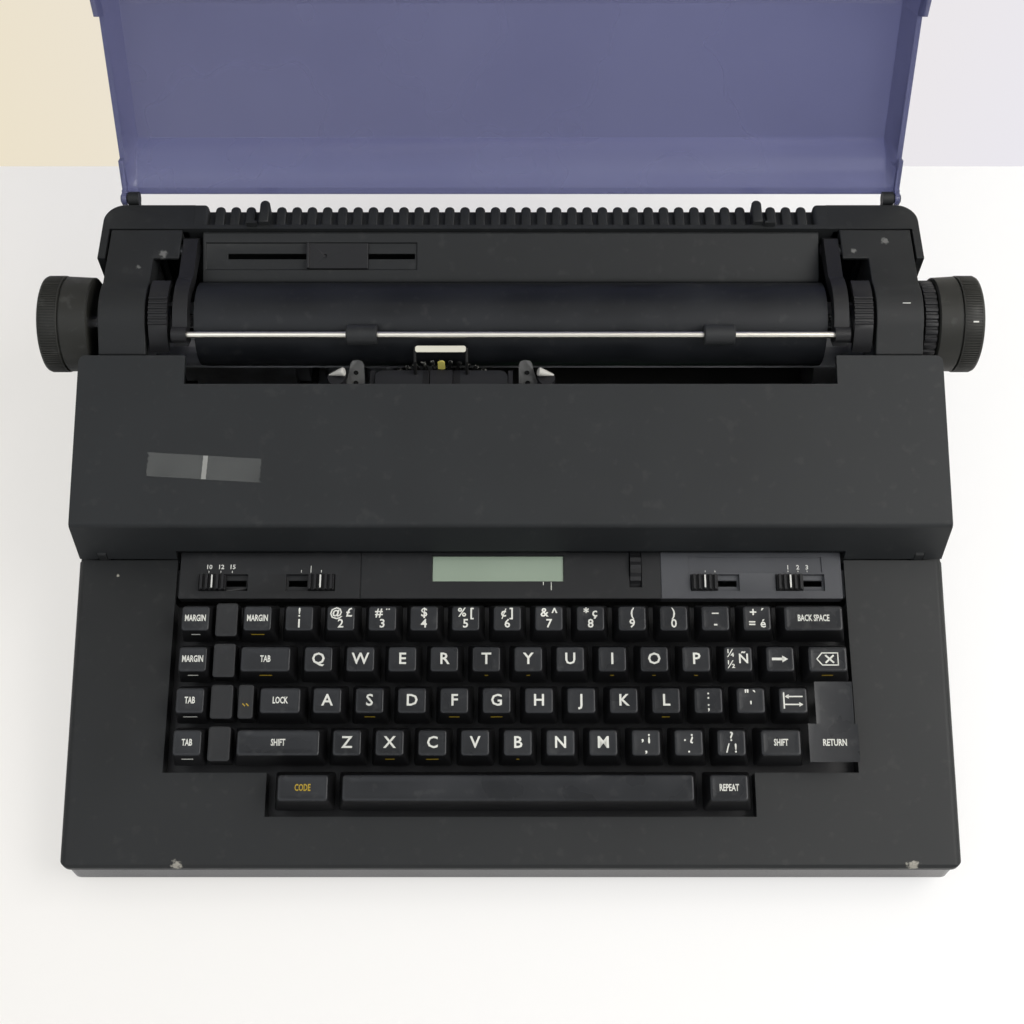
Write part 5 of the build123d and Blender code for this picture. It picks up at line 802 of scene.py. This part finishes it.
def turned(profile, steps):
    shape = bmesh.new()
    line = [shape.verts.new((x, 0, radius)) for x, radius in profile]
    for start, end in zip(line, line[1:]):
        shape.edges.new((start, end))
    bmesh.ops.spin(
        shape, geom=shape.verts[:] + shape.edges[:], cent=(0, 0, 0), axis=(1, 0, 0), angle=2 * pi, steps=steps,
        use_merge=True)
    bmesh.ops.remove_doubles(shape, verts=shape.verts, dist=0.000002)
    bmesh.ops.recalc_face_normals(shape, faces=shape.faces)
    return shape


def platen_knob(name, inner, side):
    grip = knob_end - knob_band
    shape = turned([
        (inner, 0), (inner, 0.0215), (inner + 0.0006, 0.0223), (grip - 0.0008, 0.0229), (grip - 0.0006, 0.0221),
        (grip, 0.0221), (grip + 0.0002, knob_radius - 0.0002), (grip + 0.0008, knob_radius),
        (knob_end - 0.0016, knob_radius), (knob_end - 0.0005, knob_radius - 0.0005), (knob_end, knob_radius - 0.0016),
        (knob_end, 0.0172), (knob_end - 0.0020, 0.0152), (knob_end - 0.0020, 0)], grip_faces)
    band = []
    for face in shape.faces:
        face.smooth = True
        middle = face.calc_center_median()
        if abs(middle.x - knob_end + knob_band / 2) < 0.002 and middle.yz.length > 0.0225:
            band.append(face)
    band.sort(key=lambda f: atan2(f.calc_center_median().y, f.calc_center_median().z))
    bmesh.ops.inset_individual(shape, faces=band[::2], thickness=0.00005, depth=-0.00035)
    if side < 0:
        bmesh.ops.mirror(shape, geom=shape.verts[:] + shape.edges[:] + shape.faces[:], axis="X", merge_dist=-1)
        right = [v for v in shape.verts if v.co.x > 0]
        bmesh.ops.delete(shape, geom=right, context="VERTS")
        bmesh.ops.recalc_face_normals(shape, faces=shape.faces)
    knob = stand(name + "_moulding", shape, "platen", [knob_plastic], Matrix.Translation(platen_axis), 30)
    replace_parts(knob, name)


platen_knob("left_knob", 0.2003, -1)
platen_knob("right_knob", 0.2028, 1)
for name, body, slot, x, angle, radius, length, width in (
        ("right_knob_mark", "platen", "knob", 0.2192, 123.2, 0.02330, 0.0026, 0.0007),
        ("end_cover_mark", "chassis", "case", 0.1870, 99.7, 0.02236, 0.0038, 0.0004)):
    mark = bmesh.new()
    dash(mark, x, 0, length, width, radius)
    turn = Matrix.Rotation(radians(angle - 90), 4, "X")
    stand(name, mark, body, [white_print], Matrix.Translation(platen_axis) @ turn)


# The paper bail is a bright rod with two rubber rollers on it, carried by two black arms beside the platen's ends. It
# swings up about pins in the end covers.
soft_edged("bail_arms", black_plastic, "bail", 0.0003, 40)
dress(metal("bail_steel", (0.90, 0.86, 0.76), 0.30, film=0.0, lines=0.0), "bail_rod")
dress(soft_rubber, "bail_rollers")


# The carriage runs on two rails below the platen. Its frame and the ribbon cassette on it are black mouldings, the
# cassette with a paler middle between two darker slants.
print_x = -0.0332
carriage_finish = moulding("carriage_moulding", (0.014, 0.014, 0.016), 0.50, depth=0.2, scuff=0.0)
soft_edged("carriage_body", carriage_finish, "carriage", 0.0002, 45)
cassette_black = (0.016, 0.0165, 0.0185)
cassette_finish = moulding("cassette_moulding", cassette_black, 0.42, depth=0.15, blotch=0.08, scuff=0.0)
cassette_tree = cassette_finish.node_tree
cassette_axes = wired(cassette_tree, "SeparateXYZ", {0: object_place(cassette_tree)})
away = calculated(cassette_tree, "ABSOLUTE", calculated(cassette_tree, "SUBTRACT", cassette_axes["X"], print_x))
cassette_shade = tinted(cassette_tree, away, 0.0054, (0.042, 0.044, 0.050, 1), (0.008, 0.008, 0.009, 1))
cassette_shade = tinted(cassette_tree, away, 0.0090, cassette_shade, (*cassette_black, 1))
recoloured(cassette_finish, cassette_shade)
soft_edged("ribbon_cassette", cassette_finish, "carriage", 0.0003, 40)


# The print wheel is a black nylon daisy whose upright petal is yellow, to show which way it goes on. Small pale
# characters stand on the ends of the others.
wheel_black = (0.009, 0.009, 0.009)
wheel_finish = moulding("wheel_nylon", wheel_black, 0.40, depth=0.1, blotch=0.05, scuff=0.0)
wheel_tree = wheel_finish.node_tree
wheel_place = object_place(wheel_tree)
from_hub = wired(wheel_tree, "VectorMath", {0: wheel_place, 1: (print_x, 0.0197, 0.056)}, operation="DISTANCE")["Value"]
speck = wired(wheel_tree, "TexNoise", {"Vector": wheel_place, "Scale": 900})["Fac"]
rim = calculated(wheel_tree, "MULTIPLY", from_hub, speck)
recoloured(wheel_finish, tinted(wheel_tree, rim, 0.0187, (*wheel_black, 1), (0.20, 0.20, 0.18, 1)))
dress(wheel_finish, "print_wheel")
petal_yellow = moulding("petal_yellow", (0.72, 0.64, 0.16), 0.45, depth=0.1, scuff=0.0)
petal = box((0.0034, 0.0006, 0.0064))
top = [e for e in edges_where(petal, lambda co: co.z > 0) if abs(e.verts[0].co.y - e.verts[1].co.y) > 0.0001]
rounded(petal, top, 0.0010, 1)
bmesh.ops.translate(petal, verts=petal.verts, vec=(print_x, 0.0192, 0.0873))
stand("yellow_petal", petal, "print_wheel", [petal_yellow])


# The ribbon guide in front of the platen is a black wire bow on the carriage, which keeps the ribbon off the paper. A
# bright flat bar lies across its top.
dress(moulding("bow_black", (0.010, 0.010, 0.010), 0.35, depth=0.1, blotch=0.05, scuff=0.0), "ribbon_loop")
bar_steel = metal("bar_steel", (0.60, 0.57, 0.47), 0.30, film=0.0, lines=0.0)
bar = box((0.0240, 0.0030, 0.0006))
rounded(bar, uprights(bar, 0.0001), 0.0010, 3)
bar_place = Matrix.Translation((print_x, 0.0206, 0.0985)) @ Matrix.Rotation(radians(32), 4, "X")
stand("ribbon_guide_bar", bar, "carriage", [bar_steel], bar_place)


# Two light card guides lean on the platen, each a bent plate with sight holes, and beside each stands a white
# pointer on a dark post.
plate_finish = moulding("guide_plate", (0.27, 0.27, 0.265), 0.42, depth=0.15, scuff=0.10)
hole_black = ink("hole_black", (0.004, 0.004, 0.004), 0.8)
tip_white = moulding("pointer_white", (0.55, 0.54, 0.50), 0.50, depth=0.15, scuff=0.0)


def guide_plate(side):
    plate = bmesh.new()
    outline = (
        (-3.4, 0), (-3.4, 12.2), (-2.4, 13.8), (-0.6, 14.4), (1.8, 14.0), (3.0, 12.6), (3.6, 9.0), (5.4, 3.2), (6.2, 0))
    plate.faces.new([plate.verts.new((side * x / 1000, 0, z / 1000)) for x, z in outline])
    bmesh.ops.solidify(plate, geom=plate.faces[:], thickness=0.0007)
    bmesh.ops.recalc_face_normals(plate, faces=plate.faces)
    return plate


guides = bmesh.new()
sights = bmesh.new()
tips = bmesh.new()
posts = bmesh.new()
for side in (-1, 1):
    lean = Matrix.Translation((print_x + side * 0.0405, 0.0131, 0.0774)) @ Matrix.Rotation(radians(-30), 4, "X")
    plate = guide_plate(side)
    bmesh.ops.transform(plate, matrix=lean, verts=plate.verts)
    add_shape(guides, plate)
    for x, height in ((0.0005, 0.0080), (0.0008, 0.0026)):
        hole = bmesh.new()
        bmesh.ops.create_circle(hole, cap_ends=True, segments=20, radius=0.0012)
        bmesh.ops.rotate(hole, verts=hole.verts, matrix=Matrix.Rotation(pi / 2, 3, "X"))
        bmesh.ops.translate(hole, verts=hole.verts, vec=(side * x, -0.00076, height))
        bmesh.ops.transform(hole, matrix=lean, verts=hole.verts)
        add_shape(sights, hole)
    tip = bmesh.new()
    bmesh.ops.create_cone(tip, cap_ends=True, segments=16, radius1=0.0024, radius2=0.0004, depth=0.0082)
    rounded(tip, edges_where(tip, lambda co: co.z < 0), 0.0010, 3)
    bmesh.ops.rotate(tip, verts=tip.verts, matrix=Matrix.Rotation(radians(side * 112), 3, "Y"))
    add_shape(tips, tip, (print_x + side * 0.0500, 0.0152, 0.0861))
    post = bmesh.new()
    bmesh.ops.create_cone(post, cap_ends=True, segments=24, radius1=0.0032, radius2=0.0032, depth=0.0240)
    rounded(post, edges_where(post, lambda co: co.z > 0), 0.0006, 2)
    add_shape(posts, post, (print_x + side * 0.0492, 0.0142, 0.0725))
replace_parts(stand("card_guide_plates", guides, "carriage", [plate_finish]), "card_guides")
stand("card_guide_sights", sights, "carriage", [hole_black])
stand("card_guide_pointers", tips, "carriage", [tip_white])
stand("card_guide_posts", posts, "carriage", [carriage_finish])


# The dust lid is one clear smoked moulding, blue-grey through its thickness, which hooks on the rear case. It is
# scuffed a little and lets through a tinted light.
smoked, tree, shader = new_finish("smoked_clear", {"Transmission Weight": 0.55, "IOR": 1.49})
cloud = wired(tree, "TexNoise", {"Vector": object_place(tree), "Scale": 9, "Detail": 3})["Fac"]
rub = wired(tree, "MapRange", {"To Min": 0.12, "To Max": 0.30, "Value": cloud})["Result"]
tree.links.new(mixed(tree, cloud, (0.130, 0.138, 0.275, 1), (0.190, 0.200, 0.350, 1)), shader.inputs["Base Color"])
tree.links.new(rub, shader.inputs["Roughness"])
shadow_ray = wired(tree, "LightPath", {})["Is Shadow Ray"]
tinted_light = wired(tree, "BsdfTransparent", {"Color": (0.55, 0.56, 0.68, 1)})[0]
show(tree, wired(tree, "MixShader", {0: shadow_ray, 1: shader.outputs[0], 2: tinted_light})[0])
soft_edged("lid", smoked, "lid", 0.0006)
